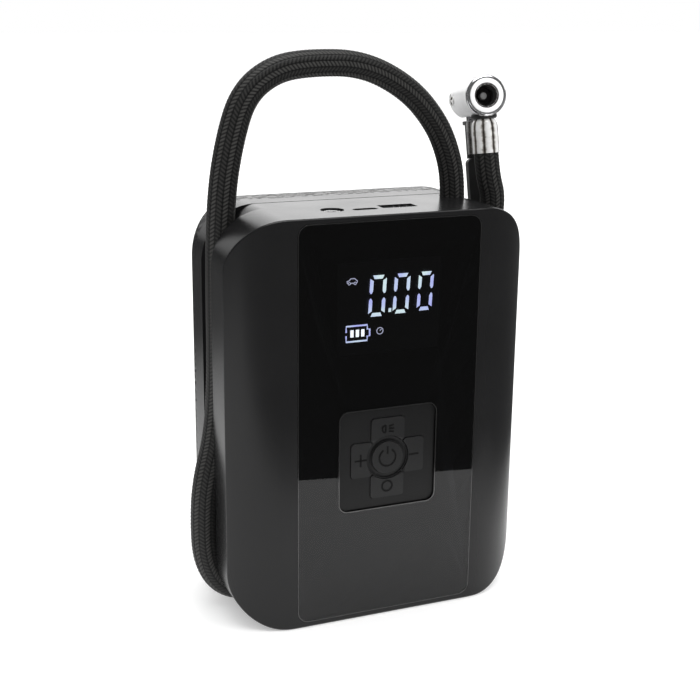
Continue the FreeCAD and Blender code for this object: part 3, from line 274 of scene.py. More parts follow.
def fluted_ferrule():
    """A pressed sleeve with eight lobes that end in a round shoulder; "lobe" is 1 on them, 0 in between."""
    profile = ((4.55, -20.5), (4.8, -20.4), (4.95, -20.1), (4.9, -19.6), (4.9, -17.0), (4.9, -13.0),
               (4.88, -11.8), (4.82, -10.9), (4.68, -10.1), (4.45, -9.4), (4.1, -8.8), (3.7, -8.35),
               (3.4, -8.15))
    sides = 160
    lobe_pairs = 4
    rows = []
    lobes = []
    for radius, along in profile:
        deep = 0.55 if -20.2 < along < -8.5 else 0.1
        row = []
        for k in range(sides):
            angle = 2 * math.pi * k / sides
            lobe = abs(math.cos(lobe_pairs * angle)) ** 0.6
            here = (radius - deep * (1 - lobe)) * MM
            row.append(CHUCK @ Vector((here * math.cos(angle), here * math.sin(angle), along * MM)))
            lobes.append(lobe)
        rows.append(row)
    mesh = grid_mesh("ferrule_fluted", rows, cap=True)
    # "lobe" also sets painted shade in the flutes and a painted reflection on the lobes.
    mesh.attributes.new("lobe", "FLOAT", "POINT").data.foreach_set("value", lobes)
    piece = link("ferrule_fluted", mesh, "housing", MATERIALS["fluted_metal_painted_light"], smooth_angle=60)
    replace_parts(piece, "hose_ferrule")
    return piece


def star_rivet():
    """The peened end of the lever's pin: a low dome with a five-pointed star pressed into it."""
    pin_end = Matrix.Translation(Vector((-7.75, 15.5, 0)) * MM)
    place = CHUCK @ pin_end @ Matrix.Rotation(math.radians(-90), 4, "Y")
    sides, steps, reach = 80, 12, 2.5
    points_of_star, dome_rise, groove_deep = 5, 0.5, 0.22
    rows = []
    grooves = []
    for step in range(1, steps + 1):
        radius = reach * step / steps
        row = []
        for k in range(sides):
            angle = 2 * math.pi * k / sides
            from_arm = 1 - abs(math.cos(points_of_star / 2 * angle))
            groove = math.exp(-(from_arm * 4.2) ** 2) * min(1, 2.4 * (1 - step / (steps + 1)))
            rise = dome_rise * math.sqrt(max(0, 1 - (radius / reach) ** 2)) - groove_deep * groove
            row.append(place @ (Vector((radius * math.cos(angle), radius * math.sin(angle), rise)) * MM))
            grooves.append(1 - groove)
        rows.append(row)
    mesh = grid_mesh("star_rivet", rows, cap=True)
    # Painted shade: the star's grooves go dark through "lobe".
    mesh.attributes.new("lobe", "FLOAT", "POINT").data.foreach_set("value", grooves)
    return link("star_rivet", mesh, "housing", MATERIALS["fluted_metal_painted_light"], smooth_angle=70)


# ---------------------------------------------------------------- lit display
MARK_FRONT = -28.62
MARK_BACK = -28.5
# The battery symbol's left, right, lower and upper edges.
BATTERY = (-15.7, -8.0, 102.7, 108.1)


def prism(points, faces, outline, front, back):
    """Add a flat plate with the given outline in millimetres, as x and z, to lists of points and faces."""
    first = len(points)
    count = len(outline)
    for y in (front, back):
        points.extend((x * MM, y * MM, z * MM) for x, z in outline)
    faces.append(tuple(range(first, first + count)))
    faces.append(tuple(range(first + 2 * count - 1, first + count - 1, -1)))
    for k in range(count):
        after = (k + 1) % count
        faces.append((first + k, first + count + k, first + count + after, first + after))


def ribbon(points, faces, path, width, front, back, closed=False):
    """Add a line of even width, mitred at its corners, along a path of x and z."""
    count = len(path)
    sides = []
    for k, here in enumerate(path):
        before = path[(k - 1) % count] if closed or k else here
        after = path[(k + 1) % count] if closed or k < count - 1 else here
        way = Vector((after[0] - before[0], after[1] - before[1])).normalized()
        sides.append(((here[0] - way.y * width / 2, here[1] + way.x * width / 2),
                      (here[0] + way.y * width / 2, here[1] - way.x * width / 2)))
    for k in range(count if closed else count - 1):
        (a, b), (c, e) = sides[k], sides[(k + 1) % count]
        prism(points, faces, [a, c, e, b], front, back)


def arc(centre, radius, start=0, end=360, steps=32):
    """Points on a circle in the front plane; angles run from +X towards +Z."""
    angles = [math.radians(start + (end - start) * k / steps) for k in range(steps + 1)]
    return [(centre[0] + radius * math.cos(a), centre[1] + radius * math.sin(a)) for a in angles]


def zero_bars(x, top, wide, tall):
    """The outlines of a lit 0: six bars with chamfered outer corners, leaning to the right."""
    half_wide, half_tall, thick, lean = 3.2 * wide, 7.2 * tall, 1.3 * wide, 0.055
    inner = half_wide - thick
    upright = (
        (half_wide, 1.6), (half_wide, half_tall - 1.1), (inner, half_tall - 1.9), (inner, 1.7),
        (inner + 0.35, 1.0), (half_wide - 0.6, 0.75), (half_wide - 0.25, 0.95),
    )
    level = ((-half_wide + 0.95, half_tall), (half_wide - 0.95, half_tall), (inner - 0.35, half_tall - 1.25),
             (-inner + 0.35, half_tall - 1.25))
    outlines = []
    for up in (-1, 1):
        outlines.append([(px, up * pz) for px, pz in level])
        for hand in (-1, 1):
            outlines.append([(hand * px, up * pz) for px, pz in upright])
    middle = top - half_tall
    return [[(x + px + lean * pz, middle + pz) for px, pz in outline] for outline in outlines]


def rectangle(x, z, wide, high, lean=0.0):
    """The outline of an upright rectangle from its lower left corner."""
    return [(x, z), (x + wide, z), (x + wide + lean * high, z + high), (x + lean * high, z + high)]


DIGIT_SCALES = ((0.94, 0.985), (0.91, 0.96), (0.88, 0.94))


def display_marks():
    """What is lit behind the glass: 0.00 in slightly smaller digits to the right, and a battery's case."""
    points, faces = [], []
    left, top, pitch = -4.4, 124.95, 8.93
    for digit, (wide, tall) in enumerate(DIGIT_SCALES):
        for outline in zero_bars(left + digit * pitch, top, wide, tall):
            prism(points, faces, outline, MARK_FRONT, MARK_BACK)
    prism(points, faces, rectangle(left + 4.15, 111.9, 0.95, 1.3, 0.08), MARK_FRONT, MARK_BACK)
    x0, x1, z0, z1 = BATTERY
    middle_z = (z0 + z1) / 2
    case = [(x0, middle_z - 0.6), (x0, z0), (x1, z0), (x1, middle_z - 1.2), (x1 + 0.9, middle_z - 1.2),
            (x1 + 0.9, middle_z + 1.2), (x1, middle_z + 1.2), (x1, z1), (x0, z1), (x0, middle_z + 0.6)]
    ribbon(points, faces, case, 0.55, MARK_FRONT, MARK_BACK)
    return link("display_marks", mesh_of("display_marks", points, faces), "housing",
                MATERIALS["display_light"], smooth_angle=None)


def battery_bars():
    """The three white bars of charge inside the battery's case."""
    points, faces = [], []
    for bar in range(3):
        outline = rectangle(BATTERY[0] + 1.55 + 1.98 * bar, BATTERY[2] + 1.5, 1.15, 2.5)
        prism(points, faces, outline, MARK_FRONT, MARK_BACK)
    return link("battery_bars", mesh_of("battery_bars", points, faces), "housing",
                MATERIALS["white_light"], smooth_angle=None)


def faint_marks():
    """The small dim symbols: a car seen from the side and a round gauge."""
    points, faces = [], []
    car_x, car_z = -13.7, 123.4
    body = ((-1.7, -0.5), (-1.9, 0.2), (-1.1, 0.4), (-0.5, 1.05), (0.9, 1.05), (1.5, 0.45), (1.9, 0.2),
            (1.7, -0.5))
    ribbon(points, faces, [(car_x + x, car_z + z) for x, z in body], 0.28, MARK_FRONT, MARK_BACK)
    sill = [(car_x - 0.6, car_z - 0.5), (car_x + 0.6, car_z - 0.5)]
    ribbon(points, faces, sill, 0.26, MARK_FRONT, MARK_BACK)
    for wheel in (-1.05, 1.05):
        ribbon(points, faces, arc((car_x + wheel, car_z - 0.6), 0.42, steps=16), 0.22, MARK_FRONT, MARK_BACK)
    gauge = (-3.3, 105.6)
    ribbon(points, faces, arc(gauge, 1.15, steps=24), 0.24, MARK_FRONT, MARK_BACK)
    ribbon(points, faces, [gauge, (gauge[0] + 0.6, gauge[1] + 0.65)], 0.24, MARK_FRONT, MARK_BACK)
    return link("faint_marks", mesh_of("faint_marks", points, faces), "housing",
                MATERIALS["faint_light"], smooth_angle=None)


# ---------------------------------------------------------------- fine edges
def round_corners(x, z, radius, steps=12):
    """The outline of a rectangle with round corners, as x and z."""
    outline = []
    for centre, start in (((x[1] - radius, z[1] - radius), 0), ((x[0] + radius, z[1] - radius), 90),
                          ((x[0] + radius, z[0] + radius), 180), ((x[1] - radius, z[0] + radius), 270)):
        outline.extend(arc(centre, radius, start, start + 90, steps))
    return outline


def glass_lips():
    """The ground edges of the glass, round its outside and round the keypad's opening."""
    points, faces = [], []
    front, back = -30.08, -29.9
    ribbon(points, faces, round_corners((-18.35, 18.35), (41.45, 78.15), 3.3), 0.34, front, back, closed=True)
    ribbon(points, faces, round_corners((-33.45, 33.45), (2.25, 143.65), 4.1), 0.26, front, back, closed=True)
    return link("glass_lips", mesh_of("glass_lips", points, faces), "housing",
                MATERIALS["ground_edge"], smooth_angle=None)


def parting_seam():
    """The thin shadow line where the front and rear shells meet, over the top from side to side."""
    half_wide, reach, step = 0.26, 46.0, 1.0
    shell = NODES["rear_shell"]
    inward = shell.matrix_world.inverted()
    down = inward.to_3x3() @ Vector((0, 0, -1))
    points, faces = [], []
    for k in range(int(2 * reach / step) + 1):
        x = -reach + k * step
        hit, place, _, _ = shell.ray_cast(inward @ (Vector((x, 6.2, 200)) * MM), down)
        if not hit:
            continue
        top = (shell.matrix_world @ place).z + 0.00003
        points.extend(((x * MM, (5.6 - half_wide) * MM, top), (x * MM, (5.6 + half_wide) * MM, top)))
    for k in range(len(points) // 2 - 1):
        faces.append((2 * k, 2 * k + 2, 2 * k + 3, 2 * k + 1))
    return link("parting_seam", mesh_of("parting_seam", points, faces), "housing",
                MATERIALS["gap_black"], smooth_angle=60)


def lamp_dome():
    """The lamp's clear cover: a low dome that fills the reflector's mouth."""
    place = Matrix.Translation(Vector((-15.8, -15.5, 143.4)) * MM)
    profile = ((3.95, 1.0), (3.98, 1.2), (3.9, 1.4), (3.3, 1.65), (2.4, 1.85), (1.4, 1.96), (0.02, 2.0))
    piece = turned("lamp_dome", profile, place, "housing", MATERIALS["lamp_clear"])
    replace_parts(piece, "lamp_lens")


# ---------------------------------------------------------------- key symbols
KEY_FACE = -29.65


def channel(points, faces, path, width):
    """Add an engraved line: a floor between two fine raised lips, along a path of x and z; its dark colour is
    painted shade in the groove.
    """
    lip = 0.14
    section = ((-0.5, 0.0), (-0.5 + lip, 0.09), (-0.5 + 2 * lip, 0.015), (0.5 - 2 * lip, 0.015),
               (0.5 - lip, 0.09), (0.5, 0.0))
    count = len(path)
    first = len(points)
    for k, here in enumerate(path):
        before, after = path[max(0, k - 1)], path[min(count - 1, k + 1)]
        way = Vector((after[0] - before[0], after[1] - before[1])).normalized()
        for across, rise in section:
            x = here[0] - way.y * width * across
            z = here[1] + way.x * width * across
            points.append((x * MM, (KEY_FACE + 0.01 - rise) * MM, z * MM))
    wide = len(section)
    for k in range(count - 1):
        for m in range(wide - 1):
            a = first + k * wide + m
            faces.append((a, a + 1, a + wide + 1, a + wide))


def key_symbols():
    """One engraved generic symbol on each key; each rides on its own key."""
    centre = 59.8
    side, above, below = 10.2, 70.4, 49.2
    symbols = {
        "power_key": [arc((0, centre), 3.1, 120, 420, 40), [(0, centre + 1.2), (0, centre + 4.1)]],
        "plus_key": [[(-side - 2.3, centre), (-side + 2.3, centre)],
                     [(-side, centre - 2.3), (-side, centre + 2.3)]],
        "minus_key": [[(side - 2.0, centre), (side + 1.8, centre)]],
        "mode_key": [arc((0, below), 1.9, 0, 360, 32)],
        "lamp_key": [arc((-0.9, above), 1.3, 90, 270, 20), [(-0.9, above - 1.35), (-0.9, above + 1.35)],
                     [(0.3, above - 0.9), (2.2, above - 1.3)], [(0.3, above), (2.4, above)],
                     [(0.3, above + 0.9), (2.2, above + 1.3)]],
    }
    for body, paths in symbols.items():
        points, faces = [], []
        for path in paths:
            channel(points, faces, path, 0.75)
        name = "symbol_" + body
        link(name, mesh_of(name, points, faces), body, MATERIALS["key_groove_shade"], smooth_angle=20)


# ---------------------------------------------------------------- materials
def new_material(name):
    material = bpy.data.materials.new(name)
    material.use_nodes = True
    tree = material.node_tree
    return material, tree, tree.nodes["Principled BSDF"]


def noise(tree, scale, detail=3.0, vector=None, roughness=0.5):
    item = tree.nodes.new("ShaderNodeTexNoise")
    item.inputs["Scale"].default_value = scale
    item.inputs["Detail"].default_value = detail
    item.inputs["Roughness"].default_value = roughness
    if vector is None:
        vector = tree.nodes.new("ShaderNodeTexCoord").outputs["Object"]
    tree.links.new(vector, item.inputs["Vector"])
    return item.outputs["Fac"]


def spread(tree, source, low, high, from_low=0.0, from_high=1.0):
    """Map a value from one span to another."""
    item = tree.nodes.new("ShaderNodeMapRange")
    for label, value in (("From Min", from_low), ("From Max", from_high), ("To Min", low), ("To Max", high)):
        item.inputs[label].default_value = value
    tree.links.new(source, item.inputs["Value"])
    return item.outputs["Result"]


def value_node(tree, operation, first, second):
    """One calculation; each side is a number or a socket."""
    item = tree.nodes.new("ShaderNodeMath")
    item.operation = operation
    for socket, side in zip(item.inputs, (first, second)):
        if isinstance(side, (int, float)):
            socket.default_value = side
        else:
            tree.links.new(side, socket)
    return item.outputs["Value"]


def colour_ramp(tree, source, stops):
    item = tree.nodes.new("ShaderNodeValToRGB")
    ramp = item.color_ramp
    while len(ramp.elements) < len(stops):
        ramp.elements.new(0.5)
    for element, (place, colour) in zip(ramp.elements, stops):
        element.position = place
        element.color = (*colour, 1)
    tree.links.new(source, item.inputs["Fac"])
    return item.outputs["Color"]


def bump(tree, height, strength, distance, normal=None):
    item = tree.nodes.new("ShaderNodeBump")
    item.inputs["Strength"].default_value = strength
    item.inputs["Distance"].default_value = distance
    tree.links.new(height, item.inputs["Height"])
    if normal is not None:
        tree.links.new(normal, item.inputs["Normal"])
    return item.outputs["Normal"]


def plastic(name, colour, roughness, grain=900.0, grain_depth=0.00003, vary=0.12, specular=0.5):
    """Moulded plastic: a fine spark-eroded grain, faint blotches in its gloss and slight colour change."""
    material, tree, shader = new_material(name)
    broad = noise(tree, 28.0, 2.0)
    fine = noise(tree, grain, 2.0)
    dark = tuple(part * (1 - vary) for part in colour)
    light = tuple(part * (1 + vary) for part in colour)
    tree.links.new(colour_ramp(tree, broad, ((0.3, dark), (0.7, light))), shader.inputs["Base Color"])
    gloss = spread(tree, broad, roughness - 0.03, roughness + 0.03, 0.3, 0.7)
    tree.links.new(gloss, shader.inputs["Roughness"])
    tree.links.new(bump(tree, fine, 0.25, grain_depth), shader.inputs["Normal"])
    shader.inputs["Specular IOR Level"].default_value = specular
    return material


def metal(name, colour, roughness, streak=(1.0, 1.0, 1.0), scale=400.0, depth=0.00002):
    """Turned or drawn metal: fine tool streaks in colour, gloss and height."""
    material, tree, shader = new_material(name)
    mapping = tree.nodes.new("ShaderNodeMapping")
    mapping.inputs["Scale"].default_value = streak
    tree.links.new(tree.nodes.new("ShaderNodeTexCoord").outputs["Object"], mapping.inputs["Vector"])
    lines = noise(tree, scale, 3.0, mapping.outputs["Vector"])
    dark = tuple(part * 0.86 for part in colour)
    tree.links.new(colour_ramp(tree, lines, ((0.3, dark), (0.7, colour))), shader.inputs["Base Color"])
    gloss = spread(tree, lines, roughness * 0.8, roughness * 1.2, 0.3, 0.7)
    tree.links.new(gloss, shader.inputs["Roughness"])
    tree.links.new(bump(tree, lines, 0.2, depth), shader.inputs["Normal"])
    shader.inputs["Metallic"].default_value = 1.0
    return material


def satin_chrome(name, colour, metallic, roughness):
    """Plated metal, soft and nearly white, with faint clouds and fine scratches in its gloss; where it holds
    little metal, its white is painted reflection.
    """
    material, tree, shader = new_material(name)
    clouds = noise(tree, 90.0, 3.0)
    scratches = noise(tree, 1800.0, 2.0)
    dark = tuple(part * 0.9 for part in colour)
    tree.links.new(colour_ramp(tree, clouds, ((0.3, dark), (0.7, colour))), shader.inputs["Base Color"])
    gloss = spread(tree, scratches, roughness * 0.8, roughness * 1.2, 0.3, 0.7)
    tree.links.new(gloss, shader.inputs["Roughness"])
    tree.links.new(bump(tree, scratches, 0.1, 0.00001), shader.inputs["Normal"])
    shader.inputs["Metallic"].default_value = metallic
    shader.inputs["Coat Weight"].default_value = 0.12
    shader.inputs["Coat Roughness"].default_value = 0.08
    return material


def leather_plastic():
    """Black shell plastic whose rear part carries a leather grain of wide cells, behind the smooth crown."""
    material = plastic("shell_leather", (0.0095, 0.0095, 0.0098), 0.24, 1100.0, 0.00001)
    tree = material.node_tree
    shader = tree.nodes["Principled BSDF"]
    place = tree.nodes.new("ShaderNodeTexCoord").outputs["Object"]
    parts = tree.nodes.new("ShaderNodeSeparateXYZ")
    tree.links.new(place, parts.inputs["Vector"])
    masked = spread(tree, parts.outputs["Y"], 0, 1, 0.0145, 0.0155)
    cells = tree.nodes.new("ShaderNodeTexVoronoi")
    cells.feature = "DISTANCE_TO_EDGE"
    cells.inputs["Scale"].default_value = 270.0
    tree.links.new(place, cells.inputs["Vector"])
    creases = value_node(tree, "MULTIPLY", spread(tree, cells.outputs["Distance"], 1, 0, 0.03, 0.17), masked)
    fine_grain = shader.inputs["Normal"].links[0].from_socket
    sunk = value_node(tree, "MULTIPLY", creases, -1.0)
    tree.links.new(bump(tree, sunk, 0.5, 0.0002, fine_grain), shader.inputs["Normal"])
    tree.links.new(spread(tree, creases, 0.22, 0.06), shader.inputs["Specular IOR Level"])
    return material


def rubber(name, colour, roughness=0.55):
    material, tree, shader = new_material(name)
    fine = noise(tree, 1400.0, 4.0)
    broad = noise(tree, 60.0, 2.0)
    light = tuple(part * 1.35 for part in colour)
    tree.links.new(colour_ramp(tree, broad, ((0.35, colour), (0.75, light))), shader.inputs["Base Color"])
    gloss = spread(tree, fine, roughness - 0.06, roughness + 0.06, 0.3, 0.7)
    tree.links.new(gloss, shader.inputs["Roughness"])
    tree.links.new(bump(tree, fine, 0.3, 0.00003), shader.inputs["Normal"])
    shader.inputs["Sheen Weight"].default_value = 0.08
    return material


def fluted_metal_painted_light():
    """Pressed metal with painted light: near white on top, a painted reflection, and dark brown to near black
    in its hollows, painted shade; the attribute "lobe" is 1 on top and 0 in a hollow.
    """
    material, tree, shader = new_material("fluted_metal_painted_light")
    lobe = tree.nodes.new("ShaderNodeAttribute")
    lobe.attribute_name = "lobe"
    clouds = noise(tree, 700.0, 2.0)
    painted_shade_and_sheen = value_node(tree, "ADD", lobe.outputs["Fac"], spread(tree, clouds, -0.12, 0.12, 0.3, 0.7))
    # Painted shade in the hollows and painted reflection on top: near black at low "lobe", near white at
    # high.
    stops = ((0.2, (0.03, 0.026, 0.022)), (0.55, (0.22, 0.2, 0.18)), (0.8, (0.82, 0.81, 0.79)),
             (1.0, (0.95, 0.95, 0.95)))
    tree.links.new(colour_ramp(tree, painted_shade_and_sheen, stops), shader.inputs["Base Color"])
    tree.links.new(spread(tree, clouds, 0.14, 0.26, 0.3, 0.7), shader.inputs["Roughness"])
    tree.links.new(bump(tree, clouds, 0.1, 0.00001), shader.inputs["Normal"])
    shader.inputs["Metallic"].default_value = 0.3
    return material


def braid_material():
    """Black polyester braid with fine yarns that run along each strand; its colour holds painted shade and a
    painted sheen: bright on the ridges, near black in the gaps, and lighter on every other column.
    """
    material, tree, shader = new_material("braid_black")
    attribute = tree.nodes.new("ShaderNodeAttribute")
    attribute.attribute_name = "braid"
    height = attribute.outputs["Fac"]
    # Painted shade: the colour falls to near black where the braid's height is low, in the gaps between
    # strands.
    stops = ((0.12, (0.0012, 0.0012, 0.0012)), (0.55, (0.009, 0.009, 0.009)), (1.0, (0.046, 0.045, 0.043)))
    tree.links.new(colour_ramp(tree, height, stops), shader.inputs["Base Color"])
    yarn = tree.nodes.new("ShaderNodeAttribute")
    yarn.attribute_name = "yarn"
    stretch = tree.nodes.new("ShaderNodeMapping")
    stretch.inputs["Scale"].default_value = (5.0, 0.6, 9.0)
    tree.links.new(yarn.outputs["Vector"], stretch.inputs["Vector"])
    threads = noise(tree, 1.6, 2.0, stretch.outputs["Vector"])
    tree.links.new(bump(tree, threads, 0.5, 0.00008), shader.inputs["Normal"])
    tree.links.new(spread(tree, threads, 0.42, 0.62, 0.3, 0.7), shader.inputs["Roughness"])
    shader.inputs["Specular IOR Level"].default_value = 0.22
    shader.inputs["Sheen Weight"].default_value = 0.05
    shader.inputs["Sheen Roughness"].default_value = 0.4
    return material


def glass_material(name, tint, roughness=0.015):
    """Coated glass: a clear or smoked pane that shows what lies behind it, under a polished surface."""
    material, tree, shader = new_material(name)
    tree.nodes.remove(shader)
    output = tree.nodes["Material Output"]
    through = tree.nodes.new("ShaderNodeBsdfTransparent")
    through.inputs["Color"].default_value = (*tint, 1)
    gloss = tree.nodes.new("ShaderNodeBsdfGlossy")
    smear = noise(tree, 45.0, 3.0)
    tree.links.new(spread(tree, smear, roughness * 0.6, roughness * 1.4, 0.3, 0.7), gloss.inputs["Roughness"])
    fresnel = tree.nodes.new("ShaderNodeFresnel")
    fresnel.inputs["IOR"].default_value = 1.52
    mix = tree.nodes.new("ShaderNodeMixShader")
    tree.links.new(fresnel.outputs["Fac"], mix.inputs["Fac"])
    tree.links.new(through.outputs["BSDF"], mix.inputs[1])
    tree.links.new(gloss.outputs["BSDF"], mix.inputs[2])
    tree.links.new(mix.outputs["Shader"], output.inputs["Surface"])
    return material


def light_material(name, colour, other, strength):
    """Lit display bars: the glow shifts a little between two bluish whites, as behind a printed mask."""
    material, tree, shader = new_material(name)
    patches = noise(tree, 130.0, 1.0)
    glow = colour_ramp(tree, patches, ((0.38, colour), (0.62, other)))
    shader.inputs["Base Color"].default_value = (0.02, 0.02, 0.02, 1)
    tree.links.new(glow, shader.inputs["Emission Color"])
    shader.inputs["Emission Strength"].default_value = strength
    return material


def board_material():
    """Solder mask over copper: darker traces in a fine net, and specks of tin."""
    material, tree, shader = new_material("board_green")
    cells = tree.nodes.new("ShaderNodeTexVoronoi")
    cells.feature = "DISTANCE_TO_EDGE"
    cells.distance = "CHEBYCHEV"
    cells.inputs["Scale"].default_value = 260.0
    tree.links.new(tree.nodes.new("ShaderNodeTexCoord").outputs["Object"], cells.inputs["Vector"])
    traces = cells.outputs["Distance"]
    tree.links.new(colour_ramp(tree, traces, ((0.04, (0.02, 0.16, 0.07)), (0.09, (0.008, 0.075, 0.03)))),
                   shader.inputs["Base Color"])
    tree.links.new(bump(tree, traces, 0.3, 0.00004), shader.inputs["Normal"])
    shader.inputs["Roughness"].default_value = 0.3
    return material


MATERIALS = {
    "shell_black": plastic("shell_black", (0.0095, 0.0095, 0.0098), 0.24, 1100.0, 0.00001, specular=0.28),
    "shell_leather": leather_plastic(),
    "smoked_glass": glass_material("smoked_glass", (0.4, 0.41, 0.43)),
    "keypad_black": plastic("keypad_black", (0.006, 0.006, 0.0062), 0.38, 1500.0, 0.00001, specular=0.26),
    "key_black": plastic("key_black", (0.012, 0.012, 0.0123), 0.34, 1500.0, 0.00001, specular=0.3),
    # Painted shade: the engraved symbols are coloured darker than the keys, for the shade in their grooves.
    "key_groove_shade": plastic("key_groove_shade", (0.002, 0.002, 0.002), 0.42, 2000.0, 0.00001, specular=0.18),
    "display_case": plastic("display_case", (0.004, 0.004, 0.004), 0.6),
    "display_light": light_material("display_light", (0.55, 0.56, 1.0), (0.85, 1.0, 0.95), 5.2),
    "board_green": board_material(),
    "switch_black": plastic("switch_black", (0.03, 0.03, 0.03), 0.5),
    "silicone": rubber("silicone", (0.55, 0.55, 0.52), 0.4),
    "port_steel": metal("port_steel", (0.55, 0.55, 0.55), 0.25),
    "reflector": metal("reflector", (0.9, 0.9, 0.92), 0.08),
    "lamp_clear": glass_material("lamp_clear", (0.92, 0.94, 0.96)),
    "led_yellow": plastic("led_yellow", (0.75, 0.62, 0.16), 0.25),
    "cell_wrap": plastic("cell_wrap", (0.03, 0.12, 0.3), 0.3, 300.0),
    "holder_black": plastic("holder_black", (0.02, 0.02, 0.02), 0.5),
    "motor_zinc": metal("motor_zinc", (0.6, 0.61, 0.62), 0.32, (1, 1, 30)),
    "steel": metal("steel", (0.58, 0.58, 0.58), 0.28, (1, 1, 20)),
    "screw_black": metal("screw_black", (0.1, 0.1, 0.1), 0.35),
    "cast_alloy": metal("cast_alloy", (0.52, 0.53, 0.54), 0.5, (1, 1, 1), 220.0, 0.00008),
    "brass": metal("brass", (0.78, 0.58, 0.28), 0.25, (1, 1, 20)),
    "lead_red": rubber("lead_red", (0.35, 0.02, 0.02), 0.4),
    # Painted reflection: the chuck's plated metal is near-white paint with hardly any metal, white from every
    # side in place of mirrored light.
    "nickel": satin_chrome("nickel", (0.98, 0.98, 0.985), 0.03, 0.2),
    "fluted_metal_painted_light": fluted_metal_painted_light(),
    "white_light": light_material("white_light", (1.0, 1.0, 1.0), (0.9, 1.0, 1.0), 7.0),
    "faint_light": light_material("faint_light", (0.62, 0.6, 0.8), (0.66, 0.66, 0.8), 4.0),
    "bright_rim": satin_chrome("bright_rim", (0.9, 0.9, 0.92), 0.92, 0.1),
    "ground_edge": plastic("ground_edge", (0.012, 0.012, 0.012), 0.1, 1500.0, 0.000004, specular=1.0),
    "gap_black": plastic("gap_black", (0.002, 0.002, 0.002), 0.7, 1500.0, 0.00001, specular=0.1),
    "lever_steel": metal("lever_steel", (0.62, 0.62, 0.63), 0.14, (1, 1, 12), 300.0, 0.00001),
    "braid_black": braid_material(),
    "seal_black": rubber("seal_black", (0.012, 0.012, 0.012), 0.5),
    "plunger_grey": plastic("plunger_grey", (0.3, 0.3, 0.3), 0.3),
    "plunger_dark": plastic("plunger_dark", (0.03, 0.026, 0.025), 0.4),
}


NODE_FINISH = {"rear_shell": "shell_leather", "chuck_lever": "lever_steel", "chuck_plunger": "plunger_dark"}


def paint_cad_nodes():
    """Give every CAD node its slot's material or its own finish, and smooth shading on its round faces."""
    slots = {part["node"]: part["material_slot"] for part in frame["record"]["subparts"]}
    for name, item in NODES.items():
        material = MATERIALS[NODE_FINISH.get(name, slots[name])]
        item.data.materials.clear()
        item.data.materials.append(material)
        item.data.shade_smooth()
        item.data.set_sharp_from_angle(angle=math.radians(30))


SOFT_EDGES = {
    "display_glass": 0.25, "front_shell": 0.3, "rear_shell": 0.3, "keypad_plate": 0.2, "chuck_body": 0.3,
    "power_button": 0.3, "lamp_button": 0.3, "plus_button": 0.3, "minus_button": 0.3, "mode_button": 0.3,
    "chuck_lever": 0.3, "lever_pin": 0.2, "housing_screws": 0.15,
}


def soften_edges():
    """Round the sharp edges a little, as moulding and polishing leave them."""
    for name, width in SOFT_EDGES.items():
        item = NODES[name]
        weld = item.modifiers.new("weld", "WELD")
        weld.merge_threshold = 0.000001
        bevel = item.modifiers.new("soft_edges", "BEVEL")
        bevel.width = width * MM
        bevel.segments = 3
        bevel.limit_method = "ANGLE"
        bevel.angle_limit = math.radians(40)
        even = item.modifiers.new("even_shading", "WEIGHTED_NORMAL")
        even.weight = 100
        even.keep_sharp = True


# ---------------------------------------------------------------- studio
def card(name, corners, material):
    """A flat card that isn't part of the object, from four corners in metres."""
    mesh = mesh_of(name, corners, [(0, 1, 2, 3)])
    item = bpy.data.objects.new(name, mesh)
    bpy.context.scene.collection.objects.link(item)
    mesh.materials.append(material)
    return item


def soft_light(name, place, target, size, power, in_gloss=True):
    data = bpy.data.lights.new(name, "AREA")
    data.shape = "RECTANGLE"
    data.size, data.size_y = size
    data.energy = power
    item = bpy.data.objects.new(name, data)
    item.location = place
    item.rotation_euler = (Vector(target) - Vector(place)).to_track_quat("-Z", "Y").to_euler()
    item.visible_camera = False
    item.visible_glossy = in_gloss
    bpy.context.scene.collection.objects.link(item)


def between(tree, source, start, full, fall, end):
    """1 between full and fall, 0 outside start and end, smooth in between."""
    rise = tree.nodes.new("ShaderNodeMapRange")
    rise.interpolation_type = "SMOOTHSTEP"
    rise.inputs["From Min"].default_value = start
    rise.inputs["From Max"].default_value = full
    tree.links.new(source, rise.inputs["Value"])
    drop = tree.nodes.new("ShaderNodeMapRange")
    drop.interpolation_type = "SMOOTHSTEP"
    drop.inputs["From Min"].default_value = fall
    drop.inputs["From Max"].default_value = end
    drop.inputs["To Min"].default_value = 1
    drop.inputs["To Max"].default_value = 0
    tree.links.new(source, drop.inputs["Value"])
    return value_node(tree, "MULTIPLY", rise.outputs["Result"], drop.outputs["Result"])


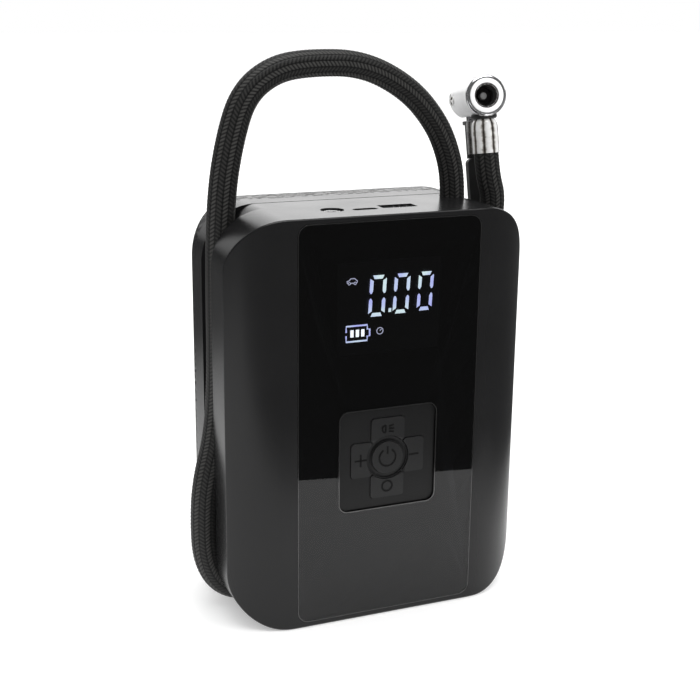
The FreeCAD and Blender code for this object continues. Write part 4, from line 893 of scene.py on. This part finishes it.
def room(window_light, window_rise, roof_light, dark, dark_below):
    """A white room for soft light; polished faces see dark walls, one low window behind, and the ceiling."""
    world = bpy.data.worlds.new("world")
    world.use_nodes = True
    tree = world.node_tree
    white = tree.nodes["Background"]
    white.inputs["Color"].default_value = (1, 1, 1, 1)
    white.inputs["Strength"].default_value = 1.0
    direction = tree.nodes.new("ShaderNodeTexCoord").outputs["Generated"]
    parts = tree.nodes.new("ShaderNodeSeparateXYZ")
    tree.links.new(direction, parts.inputs["Vector"])
    bearing = math.radians(40)
    towards = value_node(tree, "ADD", value_node(tree, "MULTIPLY", parts.outputs["X"], math.sin(bearing)),
                         value_node(tree, "MULTIPLY", parts.outputs["Y"], math.cos(bearing)))
    wide = between(tree, towards, 0.74, 0.8, 2.0, 3.0)
    high = between(tree, parts.outputs["Z"], *window_rise)
    window = value_node(tree, "MULTIPLY", value_node(tree, "MULTIPLY", wide, high), window_light)
    roof = value_node(tree, "MULTIPLY", between(tree, parts.outputs["Z"], 0.80, 0.90, 2.0, 3.0), roof_light)
    seen = tree.nodes.new("ShaderNodeBackground")
    below = value_node(tree, "MULTIPLY", between(tree, parts.outputs["Z"], -3.0, -2.0, -0.1, 0.0), dark_below)
    lit = value_node(tree, "ADD", value_node(tree, "ADD", window, roof), value_node(tree, "ADD", below, dark))
    tree.links.new(lit, seen.inputs["Strength"])
    mix = tree.nodes.new("ShaderNodeMixShader")
    tree.links.new(tree.nodes.new("ShaderNodeLightPath").outputs["Is Glossy Ray"], mix.inputs["Fac"])
    tree.links.new(white.outputs["Background"], mix.inputs[1])
    tree.links.new(seen.outputs["Background"], mix.inputs[2])
    tree.links.new(mix.outputs["Shader"], tree.nodes["World Output"].inputs["Surface"])
    bpy.context.scene.world = world


def floor_material(name, fade_y=None, fade_x=None):
    """Pale matt board with a faint grain; the fades give where on Y and X it begins and ends to vanish."""
    material = plastic(name, (0.8, 0.8, 0.8), 0.6, 300.0, 0.00002, 0.01, 0.2)
    tree = material.node_tree
    shader = tree.nodes["Principled BSDF"]
    shader.inputs["Emission Color"].default_value = (1, 1, 1, 1)
    shader.inputs["Emission Strength"].default_value = 0.3
    if fade_y:
        parts = tree.nodes.new("ShaderNodeSeparateXYZ")
        tree.links.new(tree.nodes.new("ShaderNodeTexCoord").outputs["Object"], parts.inputs["Vector"])
        behind = spread(tree, parts.outputs["Y"], 1, 0, *fade_y)
        beside = spread(tree, parts.outputs["X"], 1, 0, *fade_x)
        tree.links.new(value_node(tree, "MULTIPLY", behind, beside), shader.inputs["Alpha"])
    return material


def flat(name, x, y, z, material, askew=0.0):
    """A level card; askew moves its near right corner back, so that its near edge runs at an angle."""
    corners = [(x[0], y[0], z), (x[1], y[0] + askew, z), (x[1], y[1], z), (x[0], y[1], z)]
    return card(name, corners, material)


def studio():
    """A pale floor in a white room; polished faces see only the near floor and a window behind the object."""
    bpy.context.scene.view_settings.view_transform = "Standard"
    room(window_light=1.85, window_rise=(0.12, 0.16, 0.31, 0.37), roof_light=3.0, dark=0.045, dark_below=0.1)
    reach = 6.0
    far = flat("floor", (-reach, reach), (-reach, reach), -0.0004, floor_material("floor_pale"))
    far.visible_glossy = False
    near = floor_material("near_floor", (0.14, 0.36), (0.1, 0.2))
    flat("near_floor", (-0.5, 0.22), (-0.262, 0.38), 0.0, near, askew=0.138)
    soft_light("back_light", (0.35, 1.3, 0.75), (0, 0, 0.1), (2.6, 1.1), 8.0)
    soft_light("right_light", (0.9, -0.5, 0.55), (0.04, 0, 0.12), (0.7, 0.7), 4.0, in_gloss=False)
    soft_light("top_light", (-0.1, -0.1, 1.4), (0, 0, 0), (0.9, 0.9), 6.0)


make_camera()
hose, hose_line = make_hose()
paint_cad_nodes()
soften_edges()
nose_ring()
valve_pin()
neck_dark_ring()
fluted_ferrule()
star_rivet()
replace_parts(display_marks(), "display_segments")
battery_bars()
faint_marks()
glass_lips()
parting_seam()
lamp_dome()
key_symbols()
studio()
